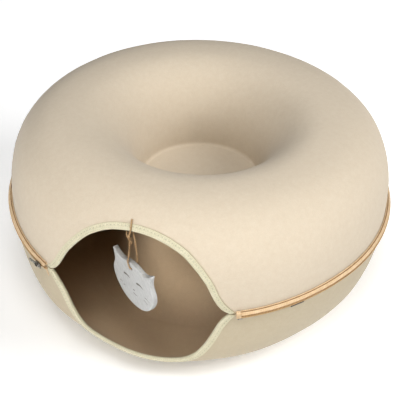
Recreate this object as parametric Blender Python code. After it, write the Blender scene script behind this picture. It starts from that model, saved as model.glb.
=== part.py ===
"""Felt cat tunnel: two moulded felt halves of a ring, zipped together round the outside.

The halves leave an almond shaped mouth at the front, bound with bias tape, where a
cat-head plate hangs on a loop of jute twine. Metres, +Z up, mouth towards -Y. The
origin is on the floor, under the middle of the outline.
"""
import functools
import math

import bmesh
import bpy
import numpy as np
from mathutils import Vector

# Where the round axis stands, a little behind the middle of the outline
AXIS_Y = -0.0006

# Felt ring
SHELL_RADIUS = 0.2930
CROWN_RADIUS = 0.1878
WELL_RADIUS = 0.0958
ZIP_HEIGHT = 0.1465
UPPER_RISE = 0.1295
FELT = 0.0030
UPPER_ROUNDNESS = 2.647
LOWER_ROUNDNESS = 2.449
WELL_ROUNDNESS = 2.118
DISC_LEVEL = 0.0034
DISC_FILLET = 0.0050
BASE_FLAT = 0.0080
EDGE_GAP = 0.0010
TOUCH = 0.0003

# Mouth: angle from its middle in degrees, heights of the upper and lower felt edges
LEFT_CORNER = -27.20
RIGHT_CORNER = 26.65
MOUTH_EDGE = (
    (-27.20, 0.1403, 0.1383),
    (-25.55, 0.1470, 0.1305),
    (-23.90, 0.1580, 0.1219),
    (-22.15, 0.1742, 0.1115),
    (-20.70, 0.1880, 0.0998),
    (-19.30, 0.1987, 0.0868),
    (-16.55, 0.2168, 0.0638),
    (-13.55, 0.2310, 0.0478),
    (-9.15, 0.2424, 0.0408),
    (-4.50, 0.2474, 0.0392),
    (0.20, 0.2486, 0.0388),
    (4.95, 0.2466, 0.0388),
    (9.55, 0.2408, 0.0396),
    (13.95, 0.2303, 0.0448),
    (17.35, 0.2138, 0.0592),
    (19.05, 0.2022, 0.0712),
    (20.55, 0.1898, 0.0843),
    (22.15, 0.1700, 0.1010),
    (23.75, 0.1548, 0.1192),
    (25.20, 0.1458, 0.1305),
    (26.65, 0.1403, 0.1383),
)

# How the seam sinks beside the mouth
SEAM_SAG = 0.0072
SAG_START = 27.2
SAG_END = 62.0

# How the lower half splays out round the mouth
SPLAY = 0.0066
SPLAY_FULL = 25.0
SPLAY_END = 55.0
DROOP = 0.0108
DROOP_MIDDLE = 4.6
DROOP_SPREAD = 15.5

# Columns of points across the mouth
MOUTH_STATIONS = 29

# Bias tape over the mouth's edges
TAPE = 0.0010
TAPE_CLEARANCE = 0.0006
TAPE_WIDTH = 0.0080
TAPE_END_ALONG = 0.0071
TAPE_END_RISE = 0.0012

# Zip: how far each band stands out from the shell, and its end angles
ZIP_START = 28.15
ZIP_END = 331.05
COIL_REACH = 0.0074
SLIDER_ANGLE = -31.0
SLIDER_SIZE = (0.0110, 0.0018, 0.0086)
SLIDER_HEIGHT = -0.0018
ARCH_LEG = 0.0034
ARCH_RADIUS = 0.0008
PULL_EYE = 0.0030
PULL_TAB = 0.0021
PULL_LENGTH = 0.0150
PULL_THICKNESS = 0.0010
PULL_RISE = 0.04

# Cat-head plate and its twine
HANG_ANGLE = -90.85
HANG_RADIUS = 0.2684
HANG_HEIGHT = 0.2341
KNOT_RADIUS = 0.0022
PLATE_TURN = -34.0
PLATE_ROLL = 4.3
PLATE_OFFSET = 0.0008
PLATE_THICKNESS = 0.0080
PLATE_EDGE = 0.0013
PLATE_HOLE_RADIUS = 0.0024
PLATE_HOLE_DROP = 0.0471
TWINE_RADIUS = 0.0009
FELT_HOLE_ANGLE = -2.15
FELT_HOLE_INSET = 0.0126
FELT_HOLE_RADIUS = 0.0014

# Right half of the plate's outline: across, and up from its hole
PLATE_TOP = (
    (0.0000, 0.0091),
    (0.0077, 0.0087),
    (0.0150, 0.0072),
    (0.0232, 0.0049),
    (0.0300, 0.0057),
    (0.0376, 0.0090),
    (0.0452, 0.0136),
)
PLATE_SIDE = (
    (0.0452, 0.0136),
    (0.0438, 0.0070),
    (0.0422, -0.0005),
    (0.0422, -0.0065),
    (0.0440, -0.0117),
    (0.0468, -0.0180),
    (0.0478, -0.0240),
    (0.0465, -0.0325),
    (0.0430, -0.0405),
    (0.0368, -0.0488),
    (0.0288, -0.0556),
    (0.0198, -0.0602),
    (0.0100, -0.0628),
    (0.0000, -0.0636),
)

# Twine: across the plate, towards its face, and up from the pivot
KNOT_PLACE = (-0.0063, 0.0005, 0.0000)
BACK_STRAND_PLACE = (0.0052, -0.0003, 0.0002)
DROP_FRONT = (
    (-0.0061, 0.0006, -0.0031),
    (-0.0051, 0.0020, -0.0100),
    (-0.0040, 0.0032, -0.0163),
    (-0.0039, 0.0048, -0.0273),
    (-0.0050, 0.0055, -0.0350),
    (-0.0056, 0.0055, -0.0394),
    (-0.0030, 0.0055, -0.0430),
)
DROP_BACK = (
    (0.0010, -0.0055, -0.0425),
    (0.0014, -0.0055, -0.0380),
    (0.0020, -0.0048, -0.0284),
    (0.0038, -0.0026, -0.0123),
    (0.0049, -0.0008, -0.0030),
    (0.0051, -0.0004, -0.0007),
)


def material(name, colour, roughness, metallic=0.0):
    """A plain surface of one colour."""
    made = bpy.data.materials.new(name)
    made.use_nodes = True
    shader = made.node_tree.nodes["Principled BSDF"]
    shader.inputs["Base Color"].default_value = (*colour, 1.0)
    shader.inputs["Roughness"].default_value = roughness
    shader.inputs["Metallic"].default_value = metallic
    return made


def face_out(bm):
    """Turn every face of a closed solid outwards."""
    bm.normal_update()
    bmesh.ops.recalc_face_normals(bm, faces=bm.faces)
    if bm.calc_volume(signed=True) < 0:
        bmesh.ops.reverse_faces(bm, faces=bm.faces)


def add_object(name, bm, surface, sharp=40.0):
    """A shaded object from a finished bmesh."""
    face_out(bm)
    mesh = bpy.data.meshes.new(name)
    bm.to_mesh(mesh)
    bm.free()
    mesh.shade_smooth()
    mesh.set_sharp_from_angle(angle=math.radians(sharp))
    mesh.materials.append(surface)
    made = bpy.data.objects.new(name, mesh)
    bpy.context.scene.collection.objects.link(made)
    return made


def cutter(name, bm):
    """A solid that only shapes its neighbour."""
    face_out(bm)
    mesh = bpy.data.meshes.new(name)
    bm.to_mesh(mesh)
    bm.free()
    made = bpy.data.objects.new(name, mesh)
    made.hide_render = True
    made.display_type = "WIRE"
    bpy.context.scene.collection.objects.link(made)
    return made


def combine(target, other, operation):
    """A live Boolean of one object with another."""
    step = target.modifiers.new(operation.title(), "BOOLEAN")
    step.operation = operation
    step.object = other


def ease(x):
    """Smooth step from 0 to 1."""
    x = min(1.0, max(0.0, x))
    return x * x * (3.0 - 2.0 * x)


def smooth_line(points, count, closed=False):
    """Evenly spaced points on a Catmull-Rom curve through the given ones."""
    p = np.array(points, float)
    if closed:
        p = np.vstack((p[-1], p, p[0], p[1]))
    else:
        p = np.vstack((2 * p[0] - p[1], p, 2 * p[-1] - p[-2]))
    dense = []
    for i in range(1, len(p) - 2):
        for t in np.linspace(0.0, 1.0, 24, endpoint=False):
            dense.append(
                0.5
                * (
                    2 * p[i]
                    + (p[i + 1] - p[i - 1]) * t
                    + (2 * p[i - 1] - 5 * p[i] + 4 * p[i + 1] - p[i + 2]) * t**2
                    + (3 * p[i] - p[i - 1] - 3 * p[i + 1] + p[i + 2]) * t**3
                )
            )
    dense.append(p[-2])
    dense = np.array(dense)
    way = np.concatenate(([0.0], np.cumsum(np.linalg.norm(np.diff(dense, axis=0), axis=1))))
    stops = np.linspace(0.0, way[-1], count, endpoint=not closed)
    return np.column_stack([np.interp(stops, way, dense[:, k]) for k in range(dense.shape[1])])


class Half:
    """The outer face of one felt half, as rounds at shares of the way to its middle.

    Share 0 is the seam, 1 the crown or the base, 2 the foot of the well, 3 the middle
    of the disc. side is 1 for the upper half and -1 for the lower one.
    """

    def __init__(self, side, rise, roundness):
        self.side = side
        t = np.linspace(0.0, math.pi / 2, 400)
        reach = SHELL_RADIUS - CROWN_RADIUS
        outer = np.column_stack(
            (
                CROWN_RADIUS + reach * np.cos(t) ** (2 / roundness),
                rise * np.sin(t) ** (2 / roundness),
            )
        )
        depth = rise - DISC_LEVEL
        inner = np.column_stack(
            (
                CROWN_RADIUS - (CROWN_RADIUS - WELL_RADIUS) * np.cos(t) ** (2 / WELL_ROUNDNESS),
                DISC_LEVEL + depth * np.sin(t) ** (2 / WELL_ROUNDNESS),
            )
        )[::-1]
        if side < 0:
            outer = self.with_flat(outer, CROWN_RADIUS + BASE_FLAT, rise)
            inner = self.with_flat(inner[::-1], CROWN_RADIUS - BASE_FLAT, rise)[::-1]
        inner = inner[inner[:, 1] > DISC_LEVEL + DISC_FILLET]
        bend = np.linspace(0.0, math.pi / 2, 9)
        foot = np.column_stack(
            (
                WELL_RADIUS - DISC_FILLET + DISC_FILLET * np.cos(bend),
                DISC_LEVEL + DISC_FILLET - DISC_FILLET * np.sin(bend),
            )
        )
        disc = np.array([(WELL_RADIUS * 0.45, DISC_LEVEL), (0.0, DISC_LEVEL)])
        pieces = (outer, inner, np.vstack((foot[4:], disc)))
        inner_end = foot[:5]
        self.r, self.h, self.share = [], [], []
        for stage, piece in enumerate(pieces):
            if stage == 1:
                piece = np.vstack((piece, inner_end))
            steps = np.linalg.norm(np.diff(piece, axis=0), axis=1)
            way = np.concatenate(([0.0], np.cumsum(steps)))
            skip = 0 if stage == 0 else 1
            self.r.extend(piece[skip:, 0])
            self.h.extend(piece[skip:, 1])
            self.share.extend(stage + way[skip:] / way[-1])
            if stage == 0:
                self.outer_length = way[-1]
        self.r, self.h, self.share = map(np.array, (self.r, self.h, self.share))

    @staticmethod
    def with_flat(line, radius, level):
        """The same line with a flat last stretch to the crown's radius."""
        keep = line[np.abs(line[:, 0] - CROWN_RADIUS) > abs(radius - CROWN_RADIUS)]
        return np.vstack((keep, (radius, level), (CROWN_RADIUS, level)))

    def at(self, share):
        """Radius, height above the seam and outward normal at a share."""
        r = np.interp(share, self.share, self.r)
        h = np.interp(share, self.share, self.h)
        a, b = max(0.0, share - 0.004), min(3.0, share + 0.004)
        dr = np.interp(b, self.share, self.r) - np.interp(a, self.share, self.r)
        dh = np.interp(b, self.share, self.h) - np.interp(a, self.share, self.h)
        size = math.hypot(dr, dh)
        return r, h, dh / size, -dr / size

    def splay(self, angle, share, height):
        """How far the lower half stands out beyond its round shape."""
        if self.side > 0 or share > 1.0:
            return 0.0
        skirt = SPLAY * ease((SPLAY_END - abs(angle)) / (SPLAY_END - SPLAY_FULL))
        droop = DROOP * math.exp(-(((angle - DROOP_MIDDLE) / DROOP_SPREAD) ** 2))
        return (skirt + droop) * ease((0.128 - height) / 0.080) * ease((1.0 - share) / 0.42)

    def point(self, angle, share, lift=0.0):
        """A point on the outer face, raised by lift along its normal."""
        r, h, nr, nh = self.at(share)
        sag = seam_sag(angle) * max(0.0, 1.0 - share / 0.9)
        height = ZIP_HEIGHT + self.side * h - sag
        r += self.splay(angle, share, height)
        turn = math.radians(angle - 90.0)
        r += nr * lift
        height += self.side * nh * lift
        return Vector((r * math.cos(turn), AXIS_Y + r * math.sin(turn), height))

    def share_at_height(self, angle, height):
        """The share of the outer wall that lies at a height."""
        low, high = 0.0, 1.0
        for _ in range(24):
            middle = (low + high) / 2
            if self.side * (self.point(angle, middle).z - height) < 0:
                low = middle
            else:
                high = middle
        return (low + high) / 2

    def edge_share(self, angle):
        """Where the felt starts, at the seam or at the mouth's edge."""
        if LEFT_CORNER < angle < RIGHT_CORNER:
            edge = mouth_height(angle, self.side)
        else:
            edge = seam_height(angle) + self.side * EDGE_GAP
        return self.share_at_height(angle, edge)


def seam_sag(angle):
    """How far the seam has sunk at an angle from the mouth's middle."""
    away = abs((angle + 180.0) % 360.0 - 180.0)
    return SEAM_SAG * ease((SAG_END - away) / (SAG_END - SAG_START))


def seam_height(angle):
    """Height of the seam's middle."""
    return ZIP_HEIGHT - seam_sag(angle)


@functools.cache
def mouth_line():
    """The mouth's felt edges from corner to corner: angle, upper and lower height."""
    return smooth_line(MOUTH_EDGE, 400)


def mouth_height(angle, side):
    """Height of the mouth's upper or lower felt edge."""
    line = mouth_line()
    return float(np.interp(angle, line[:, 0], line[:, 1 if side > 0 else 2]))


def side_angles(corner):
    """Column angles of one side, from past the mouth's corner to the back."""
    front = np.linspace(abs(corner), 90.0, 10)[1:]
    back = np.linspace(90.0, 180.0, 14)[1:]
    return np.concatenate((front, back))


def outer_shares(half, angle):
    """Shares of one column's points from its edge to the crown, closer under the tape."""
    start = half.edge_share(angle)
    even = start + (1.0 - start) * np.linspace(0.0, 1.0, 9)
    if not LEFT_CORNER - 0.01 < angle < RIGHT_CORNER + 0.01:
        return list(even)
    step = 0.6 * TAPE_WIDTH / half.outer_length
    near = start + step * np.array((0.0, 1.0, 2.2, 4.2))
    return list(near[:3]) + list(near[3] + (1.0 - near[3]) * np.linspace(0.0, 1.0, 6))


def add_quad(bm, a, b, c, d):
    """Two triangles across a quad, split along its shorter diagonal."""
    if (a.co - c.co).length <= (b.co - d.co).length:
        corners = ((a, b, c), (a, c, d))
    else:
        corners = ((a, b, d), (b, c, d))
    for corner in corners:
        bm.faces.new(corner)


def felt_half(name, half, surface):
    """A felt half: its outer face, its inner face and the edges between them."""
    mouth = mouth_stations(half, MOUTH_STATIONS)[:, 0]
    right, left = side_angles(RIGHT_CORNER), side_angles(LEFT_CORNER)
    angles = np.concatenate((mouth, right, -left[::-1][1:]))
    bm = bmesh.new()
    faces = []
    for lift in (0.0, -FELT):
        grid = []
        for angle in angles:
            shares = outer_shares(half, angle)
            if half.side < 0:
                shares[-1:] = [flat_share(half, 1), flat_share(half, -1)]
            shares += list(np.linspace(shares[-1], 1.97, 6)[1:]) + [2.0, 2.03]
            grid.append([bm.verts.new(half.point(angle, s, lift)) for s in shares])
        middle = bm.verts.new(half.point(0.0, 3.0, lift))
        faces.append((grid, middle))
    for (grid, middle), flip in zip(faces, (False, True)):
        for a, b in zip(grid, grid[1:] + grid[:1]):
            for i in range(len(a) - 1):
                quad = (a[i], b[i], b[i + 1], a[i + 1])
                add_quad(bm, *(quad[::-1] if flip else quad))
            fan = (a[-1], b[-1], middle)
            bm.faces.new(fan[::-1] if flip else fan)
    outer, inner = faces[0][0], faces[1][0]
    for j in range(len(outer)):
        k = (j + 1) % len(outer)
        bm.faces.new((outer[j][0], inner[j][0], inner[k][0], outer[k][0]))
    return add_object(name, bm, surface)


def flat_share(half, way):
    """The share at which the flat base begins, outside or inside the crown circle."""
    target = CROWN_RADIUS + way * BASE_FLAT
    span = (half.share <= 1.0) if way > 0 else (half.share >= 1.0) & (half.share < 1.9)
    r, s = half.r[span], half.share[span]
    order = np.argsort(r)
    return float(np.interp(target, r[order], s[order]))


def mouth_stations(half, count):
    """Evenly spaced places along the mouth's edge: angle and share."""
    angles = np.linspace(LEFT_CORNER, RIGHT_CORNER, 160)
    places = np.array([(a, half.edge_share(a * 0.99999)) for a in angles])
    points = np.array([half.point(a, s) for a, s in places])
    way = np.concatenate(([0.0], np.cumsum(np.linalg.norm(np.diff(points, axis=0), axis=1))))
    stops = np.linspace(0.0, way[-1], count)
    return np.column_stack([np.interp(stops, way, places[:, k]) for k in range(2)])


def on_edge(half, places, i, inset, lift):
    """A point beside the mouth's edge: inset into the felt, lifted off its face."""
    angle, share = places[i]
    a, b = places[max(0, i - 1)], places[min(len(places) - 1, i + 1)]
    r = half.at(share)[0]
    along = np.array(
        (math.radians(b[0] - a[0]) * r, (b[1] - a[1]) * half.outer_length)
    )
    along /= np.linalg.norm(along)
    across = np.array((-along[1], along[0]))
    if i in (0, len(places) - 1):
        way = -1.0 if i == 0 else 1.0
        across = np.array((way * TAPE_END_ALONG, TAPE_END_RISE)) / TAPE_WIDTH
    step = across * inset
    return half.point(
        angle + math.degrees(step[0] / r), share + step[1] / half.outer_length, lift
    )


def bias_tape(name, half, surface):
    """Tape folded over the mouth's edge, its two leaves along the felt's faces."""
    places = mouth_stations(half, MOUTH_STATIONS)
    nose, near = 1.5 * TOUCH, TAPE_CLEARANCE
    far = near + TAPE
    inner_near, inner_far = -FELT - near, -FELT - far
    section = (
        (TAPE_WIDTH, near),
        (TAPE_WIDTH, far),
        (TAPE_WIDTH * 0.5, far),
        (0.0, far),
        (-nose - TAPE, 0.0),
        (-nose - TAPE, -FELT),
        (0.0, inner_far),
        (TAPE_WIDTH * 0.5, inner_far),
        (TAPE_WIDTH, inner_far),
        (TAPE_WIDTH, inner_near),
        (TAPE_WIDTH * 0.5, inner_near),
        (0.0, inner_near),
        (-nose, -FELT),
        (-nose, 0.0),
        (0.0, near),
        (TAPE_WIDTH * 0.5, near),
    )
    bm = bmesh.new()
    rings = []
    for i in range(len(places)):
        rings.append([bm.verts.new(on_edge(half, places, i, w, h)) for w, h in section])
    join_rings(bm, rings)
    return add_object(name, bm, surface)


def join_rings(bm, rings):
    """Skin between rings of points, with a cap on each end."""
    count = len(rings[0])
    for a, b in zip(rings, rings[1:]):
        for i in range(count):
            k = (i + 1) % count
            add_quad(bm, a[i], a[k], b[k], b[i])
    for ring in (rings[0], rings[-1]):
        cap = bm.faces.new(ring)
        cap.normal_update()
        bmesh.ops.triangulate(bm, faces=[cap])


def seam_point(angle, reach, height):
    """A point beside the seam: its reach beyond the shell and height over the seam."""
    turn = math.radians(angle - 90.0)
    r = SHELL_RADIUS + reach
    return Vector((r * math.cos(turn), AXIS_Y + r * math.sin(turn), seam_height(angle) + height))


def seam_angles(start, end):
    """Angles from one end of the zip round the back to the other."""
    right, left = side_angles(RIGHT_CORNER), side_angles(LEFT_CORNER)
    slider = [360.0 + SLIDER_ANGLE + step for step in (-1.2, 0.0, 1.2)]
    whole = sorted([*right, *(360.0 - left[:-1]), *slider])
    return [start] + [a for a in whole if start + 0.3 < a < end - 0.3] + [end]


def seam_band(name, surface, section, start, end, shape=None):
    """A band that follows the seam round the back, by its section's reach and height."""
    bm = bmesh.new()
    rings = []
    for angle in seam_angles(start, end):
        ring = []
        for reach, height in section:
            if shape is not None:
                reach, height = shape(angle, reach, height)
            ring.append(bm.verts.new(seam_point(angle, reach, height)))
        rings.append(ring)
    join_rings(bm, rings)
    return add_object(name, bm, surface)


def drooping_end(angle, reach, height):
    """The lower tape parting from the zip past the slider, down to a thin end."""
    past = ease((angle - (360.0 + SLIDER_ANGLE) - 1.0) / 5.0)
    return reach * (1.0 - 0.35 * past) + 0.00012 * past, height - 0.0022 * past


def seam_block(name, surface, angle, size, reach, height, round_by):
    """A small block on the seam: its size along, out and up, and its inner face's reach."""
    turn = math.radians(angle - 90.0)
    out = Vector((math.cos(turn), math.sin(turn), 0.0))
    along = (seam_point(angle + 1.0, 0.0, 0.0) - seam_point(angle - 1.0, 0.0, 0.0)).normalized()
    up = out.cross(along)
    centre = seam_point(angle, reach + size[1] / 2, height)
    bm = bmesh.new()
    bmesh.ops.create_cube(bm, size=1.0)
    for v in bm.verts:
        x, y, z = v.co
        v.co = centre + along * (x * size[0]) + out * (y * size[1]) + up * (z * size[2])
    face_out(bm)
    bmesh.ops.bevel(
        bm, geom=bm.edges[:], offset=round_by, segments=2, profile=0.5, affect="EDGES"
    )
    return add_object(name, bm, surface)


def tube(bm, points, radius, sides=8):
    """A closed tube along points, its rings kept from twisting."""
    points = [Vector(p) for p in points]
    normal = None
    rings = []
    for i, p in enumerate(points):
        along = (points[min(i + 1, len(points) - 1)] - points[max(i - 1, 0)]).normalized()
        if normal is None:
            normal = along.orthogonal().normalized()
        normal = (normal - along * normal.dot(along)).normalized()
        side = along.cross(normal)
        ring = []
        for k in range(sides):
            a = 2 * math.pi * k / sides
            ring.append(bm.verts.new(p + normal * math.cos(a) * radius + side * math.sin(a) * radius))
        rings.append(ring)
    join_rings(bm, rings)


def cord(name, surface, points, radius):
    """A cord as a bevelled curve with closed ends."""
    data = bpy.data.curves.new(name, "CURVE")
    data.dimensions = "3D"
    data.bevel_depth = radius
    data.bevel_resolution = 2
    data.use_fill_caps = True
    line = data.splines.new("POLY")
    line.points.add(len(points) - 1)
    for point, place in zip(line.points, points):
        point.co = (*place, 1.0)
    line.use_smooth = True
    data.materials.append(surface)
    made = bpy.data.objects.new(name, data)
    bpy.context.scene.collection.objects.link(made)
    return made


def hang_point():
    """The point the plate swings about, straight above its hole."""
    turn = math.radians(HANG_ANGLE)
    return Vector(
        (HANG_RADIUS * math.cos(turn), AXIS_Y + HANG_RADIUS * math.sin(turn), HANG_HEIGHT)
    )


def from_hang(across, front, up):
    """A point given across the plate, towards its face and up, from the knot."""
    turn = math.radians(PLATE_TURN)
    place = Vector(
        (
            across * math.cos(turn) + front * math.sin(turn),
            across * math.sin(turn) - front * math.cos(turn),
            up,
        )
    )
    return hang_point() + place


def plate_outline():
    """The cat head's whole outline about its hole, its ears' tips kept as corners."""
    right = np.vstack((smooth_line(PLATE_TOP, 8)[:-1], smooth_line(PLATE_SIDE, 19)))
    left = right[1:-1][::-1] * (-1.0, 1.0)
    whole = np.vstack((right, left)) + (PLATE_OFFSET, 0.0)
    roll = math.radians(PLATE_ROLL)
    x = whole[:, 0] * math.cos(roll) - whole[:, 1] * math.sin(roll)
    z = whole[:, 0] * math.sin(roll) + whole[:, 1] * math.cos(roll)
    return np.column_stack((x, z))


def make_pendant(surface, pivot):
    """The cat-head plate with softened edges and a hole for the twine."""
    bm = bmesh.new()
    front = [
        bm.verts.new((x, -PLATE_THICKNESS / 2, z - PLATE_HOLE_DROP)) for x, z in plate_outline()
    ]
    face = bm.faces.new(front)
    grown = bmesh.ops.extrude_face_region(bm, geom=[face])
    back = [v for v in grown["geom"] if isinstance(v, bmesh.types.BMVert)]
    bmesh.ops.translate(bm, verts=back, vec=(0.0, PLATE_THICKNESS, 0.0))
    rims = [e for e in bm.edges if abs(e.verts[0].co.y - e.verts[1].co.y) < 1e-6]
    bmesh.ops.bevel(
        bm, geom=rims, offset=PLATE_EDGE, segments=2, profile=0.5, affect="EDGES", clamp_overlap=True
    )
    plate = add_object("pendant", bm, surface)
    plate.parent = pivot
    bm = bmesh.new()
    axis = [(0.0, way * PLATE_THICKNESS, -PLATE_HOLE_DROP) for way in (-1, 1)]
    tube(bm, axis, PLATE_HOLE_RADIUS, 20)
    hole = cutter("pendant_hole", bm)
    hole.parent = pivot
    combine(plate, hole, "DIFFERENCE")
    return plate


def make_twine_drop(surface, pivot):
    """One length of twine from the knot through the plate's hole and back up."""
    top = PLATE_HOLE_RADIUS - TWINE_RADIUS - 2 * TOUCH - PLATE_HOLE_DROP
    face = PLATE_THICKNESS / 2
    through = (
        (-0.0006, face + 0.0013, top - 0.0001),
        (0.0000, 0.0020, top),
        (0.0002, -0.0020, top),
        (0.0006, -face - 0.0013, top - 0.0001),
    )
    route = [(x, -front, z) for x, front, z in DROP_FRONT + through + DROP_BACK]
    drop = cord("twine_drop", surface, smooth_line(route, 42), TWINE_RADIUS)
    drop.parent = pivot
    return drop


def make_twine_wrap(surface, upper):
    """Twine through the felt and round the lip, knotted below it."""
    knot = from_hang(*KNOT_PLACE)
    edge = upper.edge_share(FELT_HOLE_ANGLE)
    hole = edge + FELT_HOLE_INSET / upper.outer_length
    outside = TAPE_CLEARANCE + TAPE + 1.5 * TOUCH + TWINE_RADIUS
    inside = -FELT - outside

    def beside(angle, inset, lift):
        share = upper.edge_share(angle) + inset / upper.outer_length
        return upper.point(angle, share, lift)

    through = [upper.point(FELT_HOLE_ANGLE, hole, lift) for lift in (0.0012, -0.0015, -0.0040)]
    outer_strand = [
        knot,
        beside(-1.75, -0.0080, 0.0016),
        beside(-1.55, -0.0020, outside + 0.0003),
        beside(-1.70, 0.0050, outside + 0.0001),
        beside(-2.00, 0.0105, outside + 0.0001),
        *through,
    ]
    inner_strand = [
        through[-1],
        beside(-2.60, 0.0090, inside - 0.0003),
        beside(-3.05, 0.0035, inside - 0.0002),
        beside(-3.15, -0.0030, inside + 0.0002),
        beside(-2.70, -0.0085, -0.0040),
        knot,
    ]
    back_strand = [
        upper.point(FELT_HOLE_ANGLE + 0.05, hole - 0.004, inside + 0.0006),
        beside(-1.50, 0.0080, inside - 0.0004),
        beside(-1.15, 0.0010, inside - 0.0002),
        beside(-1.00, -0.0050, inside + 0.0004),
        from_hang(0.0053, -0.0004, 0.0045),
        from_hang(*BACK_STRAND_PLACE),
    ]
    end = [knot, from_hang(-0.0036, 0.0012, -0.0022), from_hang(-0.0006, 0.0014, -0.0042)]
    bm = bmesh.new()
    bmesh.ops.create_icosphere(bm, subdivisions=2, radius=KNOT_RADIUS)
    bmesh.ops.translate(bm, verts=bm.verts, vec=knot)
    wrap = add_object("twine_wrap", bm, surface, 60.0)
    strands = (
        (outer_strand, 22, "twine_outer"),
        (inner_strand, 18, "twine_inner"),
        (back_strand, 18, "twine_back"),
        (end, 6, "twine_end"),
    )
    for points, count, name in strands:
        bm = bmesh.new()
        tube(bm, smooth_line([tuple(p) for p in points], count), TWINE_RADIUS)
        combine(wrap, cutter(name, bm), "UNION")
    bm = bmesh.new()
    axis = [upper.point(FELT_HOLE_ANGLE, hole, lift) for lift in (0.0040, -0.0070)]
    tube(bm, axis, FELT_HOLE_RADIUS, 12)
    return wrap, cutter("twine_hole", bm)


def slider_axes():
    """Directions at the slider: out from the shell and back along the zip."""
    turn = math.radians(SLIDER_ANGLE - 90.0)
    out = Vector((math.cos(turn), math.sin(turn), 0.0))
    back = Vector((math.sin(turn), -math.cos(turn), 0.0))
    return out, back


def make_slider(surface):
    """The slider's outer plate with the arch that holds the pull."""
    base = COIL_REACH + TOUCH
    plate = seam_block(
        "zip_slider", surface, SLIDER_ANGLE, SLIDER_SIZE, base, SLIDER_HEIGHT, 0.0006
    )
    out, back = slider_axes()
    centre = seam_point(SLIDER_ANGLE, base, SLIDER_HEIGHT)
    leg, foot, top = ARCH_LEG, 0.0012, 0.0046
    arch = (
        (-leg, foot),
        (-leg, 0.0036),
        (-0.0022, top),
        (0.0022, top),
        (leg, 0.0036),
        (leg, foot),
    )
    points = [tuple(centre + back * along + out * lift) for along, lift in arch]
    bm = bmesh.new()
    tube(bm, smooth_line(points, 14), ARCH_RADIUS)
    combine(plate, cutter("slider_arch", bm), "UNION")
    return plate


def pull_outline():
    """The pull's outline from its eye's centre: a round head running into a flat tab."""
    head = []
    for k in range(9):
        a = math.radians(140.0 - 35.0 * k)
        head.append((-PULL_EYE * math.cos(a) * 0.98, PULL_EYE * math.sin(a)))
    head = [p for p in head if p[0] < PULL_EYE * 0.7]
    end = PULL_LENGTH - 0.0012
    tab = (
        (0.0050, -PULL_TAB),
        (end, -PULL_TAB),
        (PULL_LENGTH, -0.55 * PULL_TAB),
        (PULL_LENGTH, 0.55 * PULL_TAB),
        (end, PULL_TAB),
        (0.0050, PULL_TAB),
    )
    middle = 0.0045
    return sorted([*head, *tab], key=lambda p: math.atan2(p[1], p[0] - middle))


def make_pull(surface):
    """The pull: an eye round the arch's rear leg and a flat tab lying back along the zip."""
    out, back = slider_axes()
    up = Vector((0.0, 0.0, 1.0))
    leg = seam_point(SLIDER_ANGLE, COIL_REACH + TOUCH, SLIDER_HEIGHT) + back * ARCH_LEG
    lift = SLIDER_SIZE[1] + TOUCH
    bm = bmesh.new()
    rings = []
    for depth in (0.0, PULL_THICKNESS):
        ring = []
        for x, z in pull_outline():
            place = leg + back * x + up * (z + PULL_RISE * x)
            ring.append(bm.verts.new(place + out * (lift + depth + 0.10 * max(0.0, x))))
        rings.append(ring)
    join_rings(bm, rings)
    pull = add_object("zip_pull", bm, surface)
    bm = bmesh.new()
    tube(bm, (leg + out * (lift - 0.002), leg + out * (lift + 0.003)), ARCH_RADIUS + 0.0005, 14)
    combine(pull, cutter("pull_eye", bm), "DIFFERENCE")
    return pull


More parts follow.
